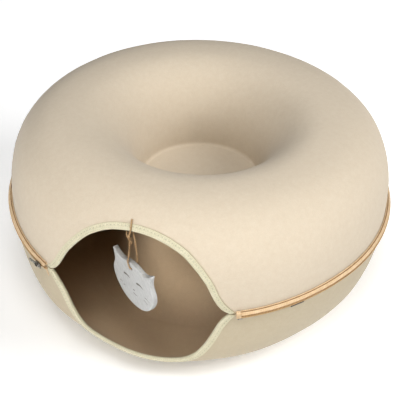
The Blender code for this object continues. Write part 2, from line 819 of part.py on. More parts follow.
def main():
    for old in list(bpy.data.objects):
        bpy.data.objects.remove(old, do_unlink=True)

    felt = material("cream_felt", (0.66, 0.52, 0.39), 0.95)
    binding = material("pale_green_tape", (0.69, 0.68, 0.48), 0.85)
    tan = material("tan_tape", (0.72, 0.47, 0.26), 0.80)
    coil_brown = material("brown_coil", (0.36, 0.22, 0.10), 0.60)
    gunmetal = material("dark_metal", (0.12, 0.12, 0.12), 0.35, 1.0)
    strip = material("dark_strip", (0.10, 0.09, 0.09), 0.60)
    plate_white = material("white_plate", (0.62, 0.62, 0.60), 0.45)
    jute = material("jute_twine", (0.45, 0.30, 0.16), 0.95)

    upper = Half(1, UPPER_RISE, UPPER_ROUNDNESS)
    lower = Half(-1, ZIP_HEIGHT, LOWER_ROUNDNESS)
    upper_shell = felt_half("upper_shell", upper, felt)
    felt_half("lower_shell", lower, felt)
    bias_tape("mouth_binding_upper", upper, binding)
    bias_tape("mouth_binding_lower", lower, binding)

    tab_end = ZIP_START + 1.3
    slider_end = 360.0 + SLIDER_ANGLE + 0.8
    upper_tape = (
        (TOUCH, 0.0010),
        (TOUCH, 0.0044),
        (0.0015, 0.0043),
        (0.0056, 0.0022),
        (0.0064, 0.0013),
        (0.0062, 0.0004),
    )
    coil = (
        (0.0012, -0.0042),
        (0.0012, 0.0001),
        (0.0068, 0.0001),
        (COIL_REACH, -0.0009),
        (0.0072, -0.0032),
        (0.0062, -0.0042),
    )
    lower_tape = (
        (TOUCH, -0.0066),
        (TOUCH, -0.0045),
        (0.0058, -0.0045),
        (0.0061, -0.0051),
        (0.0057, -0.0056),
        (0.0012, -0.0068),
    )
    seam_band("zip_tape_upper", tan, upper_tape, tab_end, ZIP_END)
    seam_band("zip_coil", coil_brown, coil, tab_end, slider_end)
    seam_band("zip_tape_lower", tan, lower_tape, tab_end, ZIP_END, drooping_end)
    seam_block(
        "zip_end_tab", tan, ZIP_START + 0.60, (0.0062, 0.0074, 0.0100), TOUCH, 0.0008, 0.0012
    )
    seam_block(
        "zip_stop", gunmetal, ZIP_START + 0.50, (0.0038, 0.0022, 0.0030), TOUCH, -0.0060, 0.0005
    )
    seam_block(
        "side_tab", strip, 45.8, (0.0210, 0.0015, 0.0025), TOUCH, -0.0106, 0.0004
    )
    make_slider(gunmetal)
    make_pull(gunmetal)

    pivot = bpy.data.objects.new("pendant_pivot", None)
    pivot.empty_display_size = 0.02
    pivot.location = hang_point()
    pivot.rotation_euler = (0.0, 0.0, math.radians(PLATE_TURN))
    bpy.context.scene.collection.objects.link(pivot)
    make_pendant(plate_white, pivot)
    make_twine_drop(jute, pivot)
    wrap, hole = make_twine_wrap(jute, upper)
    combine(upper_shell, hole, "DIFFERENCE")


main()
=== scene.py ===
"""Looks of the felt cat tunnel: felt, bound mouth, zip, cat-head plate and jute twine.

Metres, +Z up, mouth towards -Y. Every piece stands where the frame's own node stands.
"""

import functools
import math

import bmesh
import bpy
import numpy as np
from mathutils import Matrix, Vector


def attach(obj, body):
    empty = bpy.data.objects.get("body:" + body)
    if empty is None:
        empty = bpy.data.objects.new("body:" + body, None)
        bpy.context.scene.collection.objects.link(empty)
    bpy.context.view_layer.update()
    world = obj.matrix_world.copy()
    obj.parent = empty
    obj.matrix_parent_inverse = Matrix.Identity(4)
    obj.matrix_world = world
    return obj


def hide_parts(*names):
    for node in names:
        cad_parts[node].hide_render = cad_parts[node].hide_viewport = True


# Camera, as the photo was taken
CAMERA_DISTANCE = 1.5155
CAMERA_ELEVATION = 41.1794
CAMERA_TURN = 17.85
LOOK_DOWN = 38.017
LOOK_ASIDE = 0.045
CAMERA_ROLL = 1.41
LENS = 80.408
SENSOR = 36.0

# Lamps: name, place, width and power
LAMPS = (
    ("into_mouth", (-0.53, -2.47, 0.75), 1.4, 34.0),
    ("high_front", (0.085, -0.97, 1.51), 1.0, 8.7),
    ("right_side", (2.12, 0.19, 1.61), 1.4, 44.0),
    ("overhead", (0.0, -0.60, 2.60), 1.4, 20.5),
)
LAMP_AIM = (0.0, 0.0, 0.12)
ROOM_LIGHT = 0.055
GAMMA = 0.87
FLOOR_REACH = 8.0
FLOOR_LEVEL = -0.0004

# The floor's glow: place along Y and strength, in front and at the back
FLOOR_GLOW_FRONT = (-0.3, 0.15)
FLOOR_GLOW_BACK = (0.7, 0.52)

# Where the round axis stands, and how finely curves are drawn
AXIS_Y = -0.0006
CURVE_STEPS = 24

# Felt ring
SHELL_RADIUS = 0.2930
CROWN_RADIUS = 0.1878
WELL_RADIUS = 0.0958
ZIP_HEIGHT = 0.1465
UPPER_RISE = 0.1295
FELT = 0.0030
UPPER_ROUNDNESS = 2.647
LOWER_ROUNDNESS = 2.449
WELL_ROUNDNESS = 2.118
DISC_LEVEL = 0.0034
DISC_FILLET = 0.0050
BASE_FLAT = 0.0080
EDGE_GAP = 0.0010
UNEVENNESS = 0.0005
LUMP_SIZE = 0.070
LUMP_FADE = 0.03
LUMP_MARGIN = 0.4
FOOT_HEIGHT = 0.006
MOUTH_COLUMNS = 84
SIDE_COLUMNS = 78
WALL_ROWS = 30

# Felt colours, and each half's painted light and shade outside and inside: the lower half's outside
# darkened as painted shade, the upper inside browned as painted shade, the lower inside warmer and
# lighter as painted light
FELT_CREAM = (0.618, 0.542, 0.432)
FELT_LIGHT = (0.632, 0.558, 0.450)
FELT_SHADE = (0.604, 0.524, 0.414)
FELT_WARM = (0.636, 0.538, 0.424)
FELT_DEEP = (0.480, 0.405, 0.315)
FELT_HAIR = (0.400, 0.310, 0.215)
UPPER_PAINTED_LIGHT = (1.00, 1.00, 1.00), (0.98, 0.83, 0.64)
LOWER_PAINTED_LIGHT = (0.82, 0.815, 0.75), (1.08, 0.965, 0.82)

# Mouth: angle from its middle in degrees, heights of the upper and lower felt edges
LEFT_CORNER = -27.20
RIGHT_CORNER = 26.65
MOUTH_EDGE = (
    (-27.20, 0.1403, 0.1383),
    (-25.55, 0.1470, 0.1305),
    (-23.90, 0.1580, 0.1219),
    (-22.15, 0.1742, 0.1115),
    (-20.70, 0.1880, 0.0998),
    (-19.30, 0.1987, 0.0868),
    (-16.55, 0.2168, 0.0638),
    (-13.55, 0.2310, 0.0478),
    (-9.15, 0.2424, 0.0408),
    (-4.50, 0.2474, 0.0392),
    (0.20, 0.2486, 0.0388),
    (4.95, 0.2466, 0.0388),
    (9.55, 0.2408, 0.0396),
    (13.95, 0.2303, 0.0448),
    (17.35, 0.2138, 0.0592),
    (19.05, 0.2022, 0.0712),
    (20.55, 0.1898, 0.0843),
    (22.15, 0.1700, 0.1010),
    (23.75, 0.1548, 0.1192),
    (25.20, 0.1458, 0.1305),
    (26.65, 0.1403, 0.1383),
)

# How the seam sinks beside the mouth, and how the lower half splays out there
SEAM_SAG = 0.0072
SAG_START = 27.2
SAG_END = 62.0
SPLAY = 0.0066
SPLAY_FULL = 25.0
SPLAY_END = 55.0
SPLAY_TOP = 0.128
SPLAY_DEPTH = 0.080
DROOP = 0.0108
DROOP_MIDDLE = 4.6
DROOP_SPREAD = 15.5

# Bias tape over the mouth's edges
TAPE = 0.0011
TAPE_CLEARANCE = 0.0003
TAPE_NOSE = 0.0004
TAPE_WIDTH = 0.0080
TAPE_END_ALONG = 0.0071
TAPE_END_RISE = 0.0012
TAPE_END_LENGTH = 0.014
TAPE_COLUMNS = 520
TAPE_BORDER = 0.0013
BORDER_TONE = (0.400, 0.360, 0.200)
STITCH_INSET = 0.0044
STITCH_PITCH = 0.0052
STITCH_LENGTH = 0.0023
STITCH_THREAD = 0.00036
STITCH_SINK = 0.9
STITCH_SIZES = (0.86, 1.12)
PUCKER = 0.00022
PUCKER_WIDTH = 0.0013

# Zip: where it runs, in degrees from the mouth's middle, and its gap to the felt
ZIP_START = 28.15
ZIP_END = 331.05
TAB_END = ZIP_START + 1.3
SLIDER_ANGLE = 329.0
SLIDER_END = SLIDER_ANGLE + 0.8
ZIP_GAP = 0.0003

# Lower tape past the slider: angles it parts over, drop, thinning and lift
PARTING_START = SLIDER_ANGLE + 1.0
PARTING_LENGTH = 5.0
PARTING_DROP = 0.0022
PARTING_THINNING = 0.35
PARTING_LIFT = 0.00012

# Sections of the zip's bands: reach beyond the shell and height over the seam
UPPER_TAPE_SECTION = (
    (0.0003, 0.0008), (0.0003, 0.0047), (0.0011, 0.0052), (0.0020, 0.0049),
    (0.0026, 0.0040), (0.0032, 0.0042), (0.0040, 0.0040), (0.0049, 0.0033),
    (0.0060, 0.0021), (0.0065, 0.0012), (0.0060, 0.0005), (0.0030, 0.0004),
)
LOWER_TAPE_SECTION = (
    (0.0003, -0.0062), (0.0003, -0.0042), (0.0026, -0.0040), (0.0050, -0.0041),
    (0.0054, -0.0046), (0.0049, -0.0052), (0.0012, -0.0063),
)
CORE_SECTION = (
    (0.0012, -0.0034), (0.0012, -0.0002), (0.0040, 0.0000), (0.0058, -0.0003),
    (0.0063, -0.0010), (0.0062, -0.0024), (0.0056, -0.0034), (0.0035, -0.0036),
)
# Groove line: a thin dark tube, partly the tape's own edge and partly painted shade
GROOVE_MIDDLE = (0.0027, 0.0044)
GROOVE_RADIUS = 0.00055
BAND_RINGS = 320
BAND_AROUND = 34

# Coil loops: the line they stand on, and their size
LOOP_LINE = (0.0054, -0.0018)
LOOP_PITCH = 0.0020
LOOP_HEIGHT = 0.0015
LOOP_DEPTH = 0.0016
LOOP_WIRE = 0.00050
LOOP_LEAN = 72.0

# The lower tape's thin end: angle and height, and its section as side and lift
TAIL_ROUTE = ((-30.2, 0.1330), (-29.7, 0.1290), (-29.2, 0.1240), (-28.8, 0.1195))
TAIL_HALF_WIDTH = 0.52
TAIL_RINGS = 26
TAIL_SECTION = (
    (-1, 0.0006), (0, 0.0009), (1, 0.0006), (1, 0.0003), (0, 0.0004), (-1, 0.0003),
)

# Stop and folded tab at the zip's end: angle and level, then half length, depth and height
STOP_PLACE = (ZIP_START + 0.95, -0.0060)
STOP_SIZE = (0.0034, 0.0030, 0.0014)
TAB_PLACE = (ZIP_START + 0.60, 0.0008)
TAB_SIZE = (0.0031, 0.0037, 0.0050)

# Cat-head plate
HANG_ANGLE = -0.85
HANG_RADIUS = 0.2684
HANG_HEIGHT = 0.2341
PLATE_TURN = -34.0
PLATE_ROLL = 4.3
PLATE_OFFSET = 0.0008
PLATE_THICKNESS = 0.0080
PLATE_EDGE = 0.0014
EAR_EDGE = 0.0006
EAR_REACH = 0.004
EAR_ROUNDING = 9
PLATE_HOLE_RADIUS = 0.0024
PLATE_HOLE_DROP = 0.0471
PLATE_HOLE_SINK = 0.0005
PLATE_HOLE_CORNERS = 32

# Right half of the plate's outline: across, and up from its hole
PLATE_TOP = (
    (0.0000, 0.0091), (0.0077, 0.0087), (0.0150, 0.0072), (0.0232, 0.0049),
    (0.0300, 0.0057), (0.0376, 0.0090), (0.0452, 0.0136),
)
PLATE_SIDE = (
    (0.0452, 0.0136), (0.0438, 0.0070), (0.0422, -0.0005), (0.0422, -0.0065),
    (0.0440, -0.0117), (0.0468, -0.0180), (0.0478, -0.0240), (0.0465, -0.0325),
    (0.0430, -0.0405), (0.0368, -0.0488), (0.0288, -0.0556), (0.0198, -0.0602),
    (0.0100, -0.0628), (0.0000, -0.0636),
)

# Painted marks: widest width, then points across the plate and up from its hole
FACE_MARKS = {
    "left eye": (
        0.0036,
        (-0.0196, -0.0197), (-0.0162, -0.0185), (-0.0126, -0.0180),
        (-0.0088, -0.0184), (-0.0051, -0.0196),
    ),
    "right eye": (
        0.0036,
        (0.0106, -0.0187), (0.0146, -0.0172), (0.0186, -0.0166),
        (0.0226, -0.0170), (0.0264, -0.0183),
    ),
    "nose": (0.0021, (0.0022, -0.0343), (0.0042, -0.0353), (0.0062, -0.0346)),
    "mouth": (0.0014, (0.0018, -0.0408), (0.0075, -0.0412), (0.0133, -0.0399)),
    "left upper whisker": (0.0012, (-0.0307, -0.0393), (-0.0271, -0.0389), (-0.0235, -0.0390)),
    "left lower whisker": (0.0012, (-0.0228, -0.0428), (-0.0202, -0.0419), (-0.0177, -0.0415)),
    "right upper whisker": (0.0012, (0.0304, -0.0303), (0.0355, -0.0305), (0.0407, -0.0315)),
    "right lower whisker": (0.0012, (0.0271, -0.0364), (0.0318, -0.0374), (0.0365, -0.0390)),
}
MARK_SECTION = ((-1, 0), (-0.5, 0.8), (0, 1), (0.5, 0.8), (1, 0), (0, -1.5))
MARK_STEPS = 16
MARK_THINNEST = 0.00008
MARK_ROLL = 2.0
MARK_HEIGHT = 0.00012

# Twine: across the plate, towards its face, and up from the pivot
TWINE_RADIUS = 0.0009
TWIST_PITCH = 0.0042
PLY_RADIUS = 0.58 * TWINE_RADIUS
PLY_OFFSET = 0.45 * TWINE_RADIUS
YARN_STEP = 0.0005
TWINE_OVER_TAPE = 0.00205
HOLE_CLEARANCE = 0.0006
FACE_CLEARANCE = 0.0013
FELT_HOLE_ANGLE = -2.15
FELT_HOLE_INSET = 0.0126
KNOT_PLACE = (-0.0063, 0.0005, 0.0000)
KNOT_RADIUS = 0.00125
KNOT_HALF_HEIGHT = 0.0019
KNOT_TURNS = 2.5
KNOT_STEPS = 30
FREE_END = ((-0.0036, 0.0012, -0.0022), (-0.0006, 0.0014, -0.0042))
BACK_STRAND_TOP = (0.0053, -0.0004, 0.0045)
BACK_STRAND_PLACE = (0.0052, -0.0003, 0.0002)
DROP_FRONT = (
    (-0.0061, 0.0006, -0.0031),
    (-0.0051, 0.0020, -0.0100),
    (-0.0040, 0.0032, -0.0163),
    (-0.0039, 0.0048, -0.0273),
    (-0.0050, 0.0055, -0.0350),
    (-0.0056, 0.0055, -0.0394),
    (-0.0030, 0.0055, -0.0430),
)
DROP_BACK = (
    (0.0010, -0.0055, -0.0425),
    (0.0014, -0.0055, -0.0380),
    (0.0020, -0.0048, -0.0284),
    (0.0038, -0.0026, -0.0123),
    (0.0049, -0.0008, -0.0030),
    (0.0051, -0.0004, -0.0007),
)
TWINE_FIBRES = {"Density": 2.4e6, "Length": 0.0022, "Thickness": 0.000022, "Rise": 0.8, "Seed": 11}


def show(name, data):
    """A new object in the scene."""
    made = bpy.data.objects.new(name, data)
    bpy.context.scene.collection.objects.link(made)
    return made


def place_camera():
    """The camera at the photo's place, angle and frame."""
    down, aside, roll = map(math.radians, (LOOK_DOWN, LOOK_ASIDE, CAMERA_ROLL))
    rise = math.radians(CAMERA_ELEVATION)
    turn = Matrix.Rotation(math.radians(CAMERA_TURN), 3, "Z")
    place = Vector((0.0, -math.cos(rise), math.sin(rise))) * CAMERA_DISTANCE
    ahead = Vector(
        (math.sin(aside) * math.cos(down), math.cos(aside) * math.cos(down), -math.sin(down))
    )
    right = ahead.cross(Vector((0.0, 0.0, 1.0))).normalized()
    up = right.cross(ahead)
    tilted_right = right * math.cos(roll) + up * math.sin(roll)
    tilted_up = up * math.cos(roll) - right * math.sin(roll)
    data = bpy.data.cameras.new("photo_camera")
    data.sensor_width = SENSOR
    data.lens = LENS
    data.clip_start = 0.05
    data.clip_end = 30.0
    camera = show("photo_camera", data)
    axes = Matrix((turn @ tilted_right, turn @ tilted_up, turn @ -ahead)).transposed()
    camera.matrix_world = Matrix.Translation(turn @ place + Vector((0.0, AXIS_Y, 0.0))) @ axes.to_4x4()
    bpy.context.scene.camera = camera


# Lines and places on the felt


def ease(x):
    """Smooth step from 0 to 1."""
    x = min(1.0, max(0.0, x))
    return x * x * (3.0 - 2.0 * x)


def way_along(points):
    """How far along a line each of its points lies."""
    steps = np.linalg.norm(np.diff(np.array(points), axis=0), axis=1)
    return np.concatenate(([0.0], np.cumsum(steps)))


def smooth_line(points, count, closed=False):
    """Evenly spaced points on a Catmull-Rom curve through the given ones."""
    p = np.array([tuple(q) for q in points], float)
    if closed:
        p = np.vstack((p[-1], p, p[0], p[1]))
    else:
        p = np.vstack((2 * p[0] - p[1], p, 2 * p[-1] - p[-2]))
    dense = []
    for a, b, c, d in zip(p, p[1:], p[2:], p[3:]):
        for t in np.linspace(0.0, 1.0, CURVE_STEPS, endpoint=False):
            bend = (2 * a - 5 * b + 4 * c - d) * t**2 + (3 * b - a - 3 * c + d) * t**3
            dense.append(0.5 * (2 * b + (c - a) * t + bend))
    dense = np.array([*dense, p[-2]])
    way = way_along(dense)
    stops = np.linspace(0.0, way[-1], count, endpoint=not closed)
    return np.column_stack([np.interp(stops, way, column) for column in dense.T])


def seam_sag(angle):
    """How far the seam has sunk at an angle from the mouth's middle."""
    away = abs((angle + 180.0) % 360.0 - 180.0)
    return SEAM_SAG * ease((SAG_END - away) / (SAG_END - SAG_START))


def directions(angle):
    """Out from the round axis and along the seam, at an angle from the mouth's middle."""
    turn = math.radians(angle - 90.0)
    c, s = math.cos(turn), math.sin(turn)
    return Vector((c, s, 0.0)), Vector((-s, c, 0.0))


def round_point(angle, radius, height):
    """A point at an angle from the mouth's middle."""
    turn = math.radians(angle - 90.0)
    return Vector((radius * math.cos(turn), AXIS_Y + radius * math.sin(turn), height))


def seam_point(angle, reach, height):
    """A point beside the seam: its reach beyond the shell and height over the seam."""
    return round_point(angle, SHELL_RADIUS + reach, ZIP_HEIGHT - seam_sag(angle) + height)


@functools.cache
def mouth_line():
    """The mouth's felt edges from corner to corner: angle, upper and lower height."""
    return smooth_line(MOUTH_EDGE, 400)


def rounded_quarter(reach, level, rise, roundness):
    """A rounded wall from its foot, reach away from the crown's radius, up to the crown."""
    t = np.linspace(0.0, math.pi / 2, 600)
    across = CROWN_RADIUS + reach * np.cos(t) ** (2 / roundness)
    return np.column_stack((across, level + rise * np.sin(t) ** (2 / roundness)))


class Half:
    """The outer face of one felt half, as rounds at shares of the way to its middle.

    Share 0 is the seam, 1 the crown or the base, 2 the foot of the well, 3 the middle
    of the disc. side is 1 for the upper half and -1 for the lower one.
    """

    def __init__(self, side, rise, roundness):
        self.side = side
        outer = rounded_quarter(SHELL_RADIUS - CROWN_RADIUS, 0.0, rise, roundness)
        inner = rounded_quarter(
            WELL_RADIUS - CROWN_RADIUS, DISC_LEVEL, rise - DISC_LEVEL, WELL_ROUNDNESS
        )
        if side < 0:
            outer = self.with_flat(outer, CROWN_RADIUS + BASE_FLAT, rise)
            inner = self.with_flat(inner, CROWN_RADIUS - BASE_FLAT, rise)
        inner = inner[::-1]
        inner = inner[inner[:, 1] > DISC_LEVEL + DISC_FILLET]
        bend = np.linspace(0.0, math.pi / 2, 17)
        foot = np.column_stack(
            (
                WELL_RADIUS - DISC_FILLET + DISC_FILLET * np.cos(bend),
                DISC_LEVEL + DISC_FILLET - DISC_FILLET * np.sin(bend),
            )
        )
        disc = np.array([(WELL_RADIUS * 0.45, DISC_LEVEL), (0.0, DISC_LEVEL)])
        self.r, self.h, self.share = [], [], []
        stages = (outer, np.vstack((inner, foot[:9])), np.vstack((foot[8:], disc)))
        for stage, piece in enumerate(stages):
            way = way_along(piece)
            skip = min(stage, 1)
            self.r.extend(piece[skip:, 0])
            self.h.extend(piece[skip:, 1])
            self.share.extend(stage + way[skip:] / way[-1])
            if stage == 0:
                self.outer_length = way[-1]
        self.r, self.h, self.share = map(np.array, (self.r, self.h, self.share))

    @staticmethod
    def with_flat(line, radius, level):
        """The same line with a flat last stretch to the crown's radius."""
        keep = line[np.abs(line[:, 0] - CROWN_RADIUS) > abs(radius - CROWN_RADIUS)]
        return np.vstack((keep, (radius, level), (CROWN_RADIUS, level)))

    def at(self, share):
        """Radius, height above the seam and outward normal at a share."""
        a, b = max(0.0, share - 0.004), min(3.0, share + 0.004)
        r, ra, rb = np.interp((share, a, b), self.share, self.r)
        h, ha, hb = np.interp((share, a, b), self.share, self.h)
        size = math.hypot(rb - ra, hb - ha)
        return r, h, (hb - ha) / size, -(rb - ra) / size

    def splay(self, angle, share, height):
        """How far the lower half stands out beyond its round shape."""
        if self.side > 0 or share > 1.0:
            return 0.0
        skirt = SPLAY * ease((SPLAY_END - abs(angle)) / (SPLAY_END - SPLAY_FULL))
        droop = DROOP * math.exp(-(((angle - DROOP_MIDDLE) / DROOP_SPREAD) ** 2))
        return (skirt + droop) * ease((SPLAY_TOP - height) / SPLAY_DEPTH) * ease((1.0 - share) / 0.42)

    def point(self, angle, share, lift=0.0):
        """A point on the outer face, raised by lift along its normal."""
        r, h, nr, nh = self.at(share)
        sag = seam_sag(angle) * max(0.0, 1.0 - share / 0.9)
        height = ZIP_HEIGHT + self.side * h - sag
        r += self.splay(angle, share, height)
        return round_point(angle, r + nr * lift, height + self.side * nh * lift)

    def outward(self, angle, share):
        """The direction that the outer face looks in."""
        nr, nh = self.at(share)[2:]
        turn = math.radians(angle - 90.0)
        return Vector((nr * math.cos(turn), nr * math.sin(turn), self.side * nh))

    def share_at_height(self, angle, height):
        """The share of the outer wall that lies at a height."""
        low, high = 0.0, 1.0
        for _ in range(22):
            middle = (low + high) / 2
            if self.side * (self.point(angle, middle).z - height) < 0:
                low = middle
            else:
                high = middle
        return (low + high) / 2

    def edge_share(self, angle):
        """Where the felt starts, at the seam or at the mouth's edge."""
        if LEFT_CORNER < angle < RIGHT_CORNER:
            line = mouth_line()
            edge = float(np.interp(angle, line[:, 0], line[:, 1 if self.side > 0 else 2]))
        else:
            edge = ZIP_HEIGHT - seam_sag(angle) + self.side * EDGE_GAP
        return self.share_at_height(angle, edge)

    @functools.cache
    def mouth_stations(self, count):
        """Evenly spaced places along the mouth's edge: angle, share and way along it."""
        angles = np.linspace(LEFT_CORNER, RIGHT_CORNER, 220)
        places = np.array([(a, self.edge_share(a * 0.99999)) for a in angles])
        way = way_along([self.point(a, s) for a, s in places])
        stops = np.linspace(0.0, way[-1], count)
        return np.column_stack([np.interp(stops, way, column) for column in places.T] + [stops])


# Meshes


def finish_mesh(name, bm, finish, sharp=50.0):
    """A shaded piece from a closed bmesh, its faces turned outwards."""
    bm.normal_update()
    bmesh.ops.recalc_face_normals(bm, faces=bm.faces)
    if bm.calc_volume(signed=True) < 0:
        bmesh.ops.reverse_faces(bm, faces=bm.faces)
    mesh = bpy.data.meshes.new(name)
    bm.to_mesh(mesh)
    bm.free()
    mesh.shade_smooth()
    mesh.set_sharp_from_angle(angle=math.radians(sharp))
    mesh.materials.append(finish)
    return show(name, mesh)


def smooth_piece(name, points, faces, finish):
    """A shaded piece from points and faces."""
    bm = bmesh.new()
    places = [bm.verts.new(p) for p in points]
    for face in faces:
        bm.faces.new([places[i] for i in face])
    return finish_mesh(name, bm, finish)


def swept(name, points, around, finish):
    """A shaded piece through rings of points, numbered one after another, with end caps."""
    last = len(points) - around
    faces = []
    for a in range(0, last, around):
        b = a + around
        for k in range(around):
            j = (k + 1) % around
            faces.append((a + k, a + j, b + j, b + k))
    faces.append(tuple(range(around)))
    faces.append(tuple(range(last, len(points))))
    return smooth_piece(name, points, faces, finish)


def cloth_map(piece, ways, across):
    """A UV map in metres: along a swept piece's rings and round its section."""
    layer = piece.data.uv_layers.new(name="cloth")
    for loop in piece.data.loops:
        ring, k = divmod(loop.vertex_index, len(across))
        layer.data[loop.index].uv = (ways[ring], across[k])


def bridge(bm, a, b):
    """Quads between two rings of vertices."""
    for k in range(len(a)):
        j = (k + 1) % len(a)
        bm.faces.new((a[k], a[j], b[j], b[k]))


def write_attribute(mesh, label, values, kind="FLOAT"):
    """A value or a vector at each of the mesh's points."""
    field = "value" if kind == "FLOAT" else "vector"
    data = mesh.attributes.new(label, kind, "POINT").data
    data.foreach_set(field, np.array(values, np.float32).ravel())


def joined(name, pieces):
    """Several plain pieces as one."""
    bm = bmesh.new()
    for piece in pieces:
        bm.from_mesh(piece.data)
    mesh = bpy.data.meshes.new(name)
    bm.to_mesh(mesh)
    bm.free()
    mesh.materials.append(pieces[0].data.materials[0])
    for piece in pieces:
        bpy.data.objects.remove(piece)
    return show(name, mesh)


# Finishes


class NodeTree:
    """Short calls for the nodes of a tree."""

    def __init__(self, tree):
        self.tree = tree

    def add(self, kind, values=(), **settings):
        """A new node, its inputs set to values or linked to other nodes' outputs."""
        node = self.tree.nodes.new(kind)
        for key, value in settings.items():
            setattr(node, key, value)
        for key, value in dict(values).items():
            if isinstance(value, bpy.types.NodeSocket):
                self.tree.links.new(value, node.inputs[key])
            else:
                node.inputs[key].default_value = value
        return node

    def get(self, kind, values=(), **settings):
        """The first output of a new node."""
        return self.add(kind, values, **settings).outputs[0]

    def math(self, operation, a, b):
        return self.get("ShaderNodeMath", {0: a, 1: b}, operation=operation)


class Finish(NodeTree):
    """A node material with a Principled shader."""

    def __init__(self, name, roughness, **fixed):
        self.made = bpy.data.materials.new(name)
        self.made.use_nodes = True
        super().__init__(self.made.node_tree)
        self.shader = self.tree.nodes["Principled BSDF"]
        self.shader.inputs["Roughness"].default_value = roughness
        for socket, value in fixed.items():
            self.shader.inputs[socket.replace("_", " ")].default_value = value
        coordinates = self.add("ShaderNodeTexCoord").outputs
        self.place = coordinates["Object"]
        self.cloth = coordinates["UV"]

    def stretched(self, source, scale):
        return self.get("ShaderNodeMapping", {"Vector": source, "Scale": scale})

    def noise(self, source, scale, detail=3.0, roughness=0.55, distortion=0.0):
        values = {
            "Vector": source,
            "Scale": scale,
            "Detail": detail,
            "Roughness": roughness,
            "Distortion": distortion,
        }
        return self.add("ShaderNodeTexNoise", values).outputs["Fac"]

    def ramp(self, source, stops):
        """Three colours, each at a level of the source."""
        node = self.add("ShaderNodeValToRGB", {"Fac": source})
        marks = node.color_ramp.elements
        marks.new(0.5)
        for mark, (at, colour) in zip(marks, stops):
            mark.position = at
            mark.color = (*colour, 1.0)
        return node.outputs[0]

    def level(self, source, low, high, to_low=0.0, to_high=1.0):
        values = {
            "Value": source,
            "From Min": low,
            "From Max": high,
            "To Min": to_low,
            "To Max": to_high,
        }
        return self.get("ShaderNodeMapRange", values)

    def mix(self, share, a, b, blend="MIX"):
        a, b = ((*colour, 1.0) if isinstance(colour, tuple) else colour for colour in (a, b))
        node = self.add("ShaderNodeMix", {0: share, 6: a, 7: b}, data_type="RGBA", blend_type=blend)
        return node.outputs[2]

    def sum(self, *parts):
        """The weighted sum of sockets: pairs of socket and weight."""
        total, *rest = [self.math("MULTIPLY", socket, weight) for socket, weight in parts]
        for part in rest:
            total = self.math("ADD", total, part)
        return total

    def wear(self, colour, height, depth=1.0, roughness=None):
        """Plug in the colour, the relief, its depth in metres and the roughness."""
        self.tree.links.new(colour, self.shader.inputs["Base Color"])
        bump = self.get("ShaderNodeBump", {"Height": height, "Distance": depth})
        self.tree.links.new(bump, self.shader.inputs["Normal"])
        if roughness is not None:
            self.tree.links.new(roughness, self.shader.inputs["Roughness"])
        return self.made


def felt_finish(name, outside_painted_light, inside):
    """Needle felt: matted fibres, soft blotches, a few darker hairs, and painted light and shade
    multiplied in inside and out.
    """
    f = Finish(name, 0.96, Sheen_Weight=0.15, Sheen_Roughness=0.6, Specular_IOR_Level=0.15)
    blotch = f.noise(f.place, 130.0, 3.0)
    warm = f.noise(f.place, 240.0, 2.0)
    grain = f.noise(f.place, 620.0, 3.0)
    along = f.noise(f.stretched(f.place, (1.0, 0.30, 0.45)), 1500.0, 4.0, 0.62, 0.8)
    across = f.noise(f.stretched(f.place, (0.28, 1.0, 0.9)), 1350.0, 4.0, 0.62, 0.8)
    matted = f.sum((along, 0.5), (across, 0.5))
    hair = f.noise(f.stretched(f.place, (1.0, 0.16, 0.30)), 900.0, 2.0, 0.5, 1.6)
    tone = f.ramp(blotch, ((0.30, FELT_SHADE), (0.52, FELT_CREAM), (0.72, FELT_LIGHT)))
    tone = f.mix(f.level(warm, 0.35, 0.75, 0.0, 0.35), tone, FELT_WARM)
    tone = f.mix(f.level(matted, 0.38, 0.62, 0.16, 0.0), tone, FELT_DEEP)
    tone = f.mix(f.level(grain, 0.30, 0.60, 0.16, 0.0), tone, FELT_DEEP)
    tone = f.mix(f.level(hair, 0.70, 0.80, 0.0, 0.25), tone, FELT_HAIR)
    # Painted light and shade: the outer face and the inner face each multiplied by their own tint,
    # chosen by the inner attribute
    inner = f.add("ShaderNodeAttribute", attribute_name="inner").outputs["Fac"]
    outer_tone = f.mix(1.0, tone, outside_painted_light, "MULTIPLY")
    tone = f.mix(inner, outer_tone, f.mix(1.0, tone, inside, "MULTIPLY"))
    return f.wear(tone, f.sum((matted, 0.00022), (blotch, 0.00009)))


def woven_finish(name, light, dark, thread=0.00045, shine=0.30, border=0.0):
    """Narrow woven tape: warp and weft threads crossing along its own cloth map."""
    f = Finish(name, 0.78, Sheen_Weight=0.12, Sheen_Roughness=0.5, Specular_IOR_Level=shine)
    wave = {"Vector": f.cloth, "Scale": 0.05 / thread, "Distortion": 0.4, "Detail": 1.0}
    warp, weft = (
        f.add("ShaderNodeTexWave", wave, bands_direction=direction).outputs["Fac"]
        for direction in ("X", "Y")
    )
    weave = f.math("MAXIMUM", warp, weft)
    uneven = f.noise(f.place, 160.0, 3.0)
    tone = f.mix(f.level(uneven, 0.3, 0.7), dark, light)
    tone = f.mix(f.level(weave, 0.2, 0.9, 0.28, 0.0), tone, tuple(0.6 * c for c in dark))
    if border:
        across = f.add("ShaderNodeSeparateXYZ", {0: f.cloth}).outputs["Y"]
        tone = f.mix(f.level(across, 0.7 * border, 1.3 * border, 0.6, 0.0), tone, BORDER_TONE)
    return f.wear(tone, f.sum((weave, 0.00010), (uneven, 0.0002)))


def jute_finish():
    """Jute twine: rough light brown fibres running with the twist."""
    f = Finish("jute_fibre", 0.92, Sheen_Weight=0.1, Specular_IOR_Level=0.2)
    strands = f.noise(f.stretched(f.place, (1.0, 1.0, 0.35)), 2600.0, 4.0, 0.6)
    patches = f.noise(f.place, 260.0, 2.0)
    shades = (0.30, (0.30, 0.18, 0.085)), (0.55, (0.62, 0.43, 0.24)), (0.75, (0.78, 0.60, 0.38))
    tone = f.mix(f.level(patches, 0.35, 0.7, 0.0, 0.4), f.ramp(strands, shades), (0.36, 0.22, 0.11))
    return f.wear(tone, strands, 0.0002)


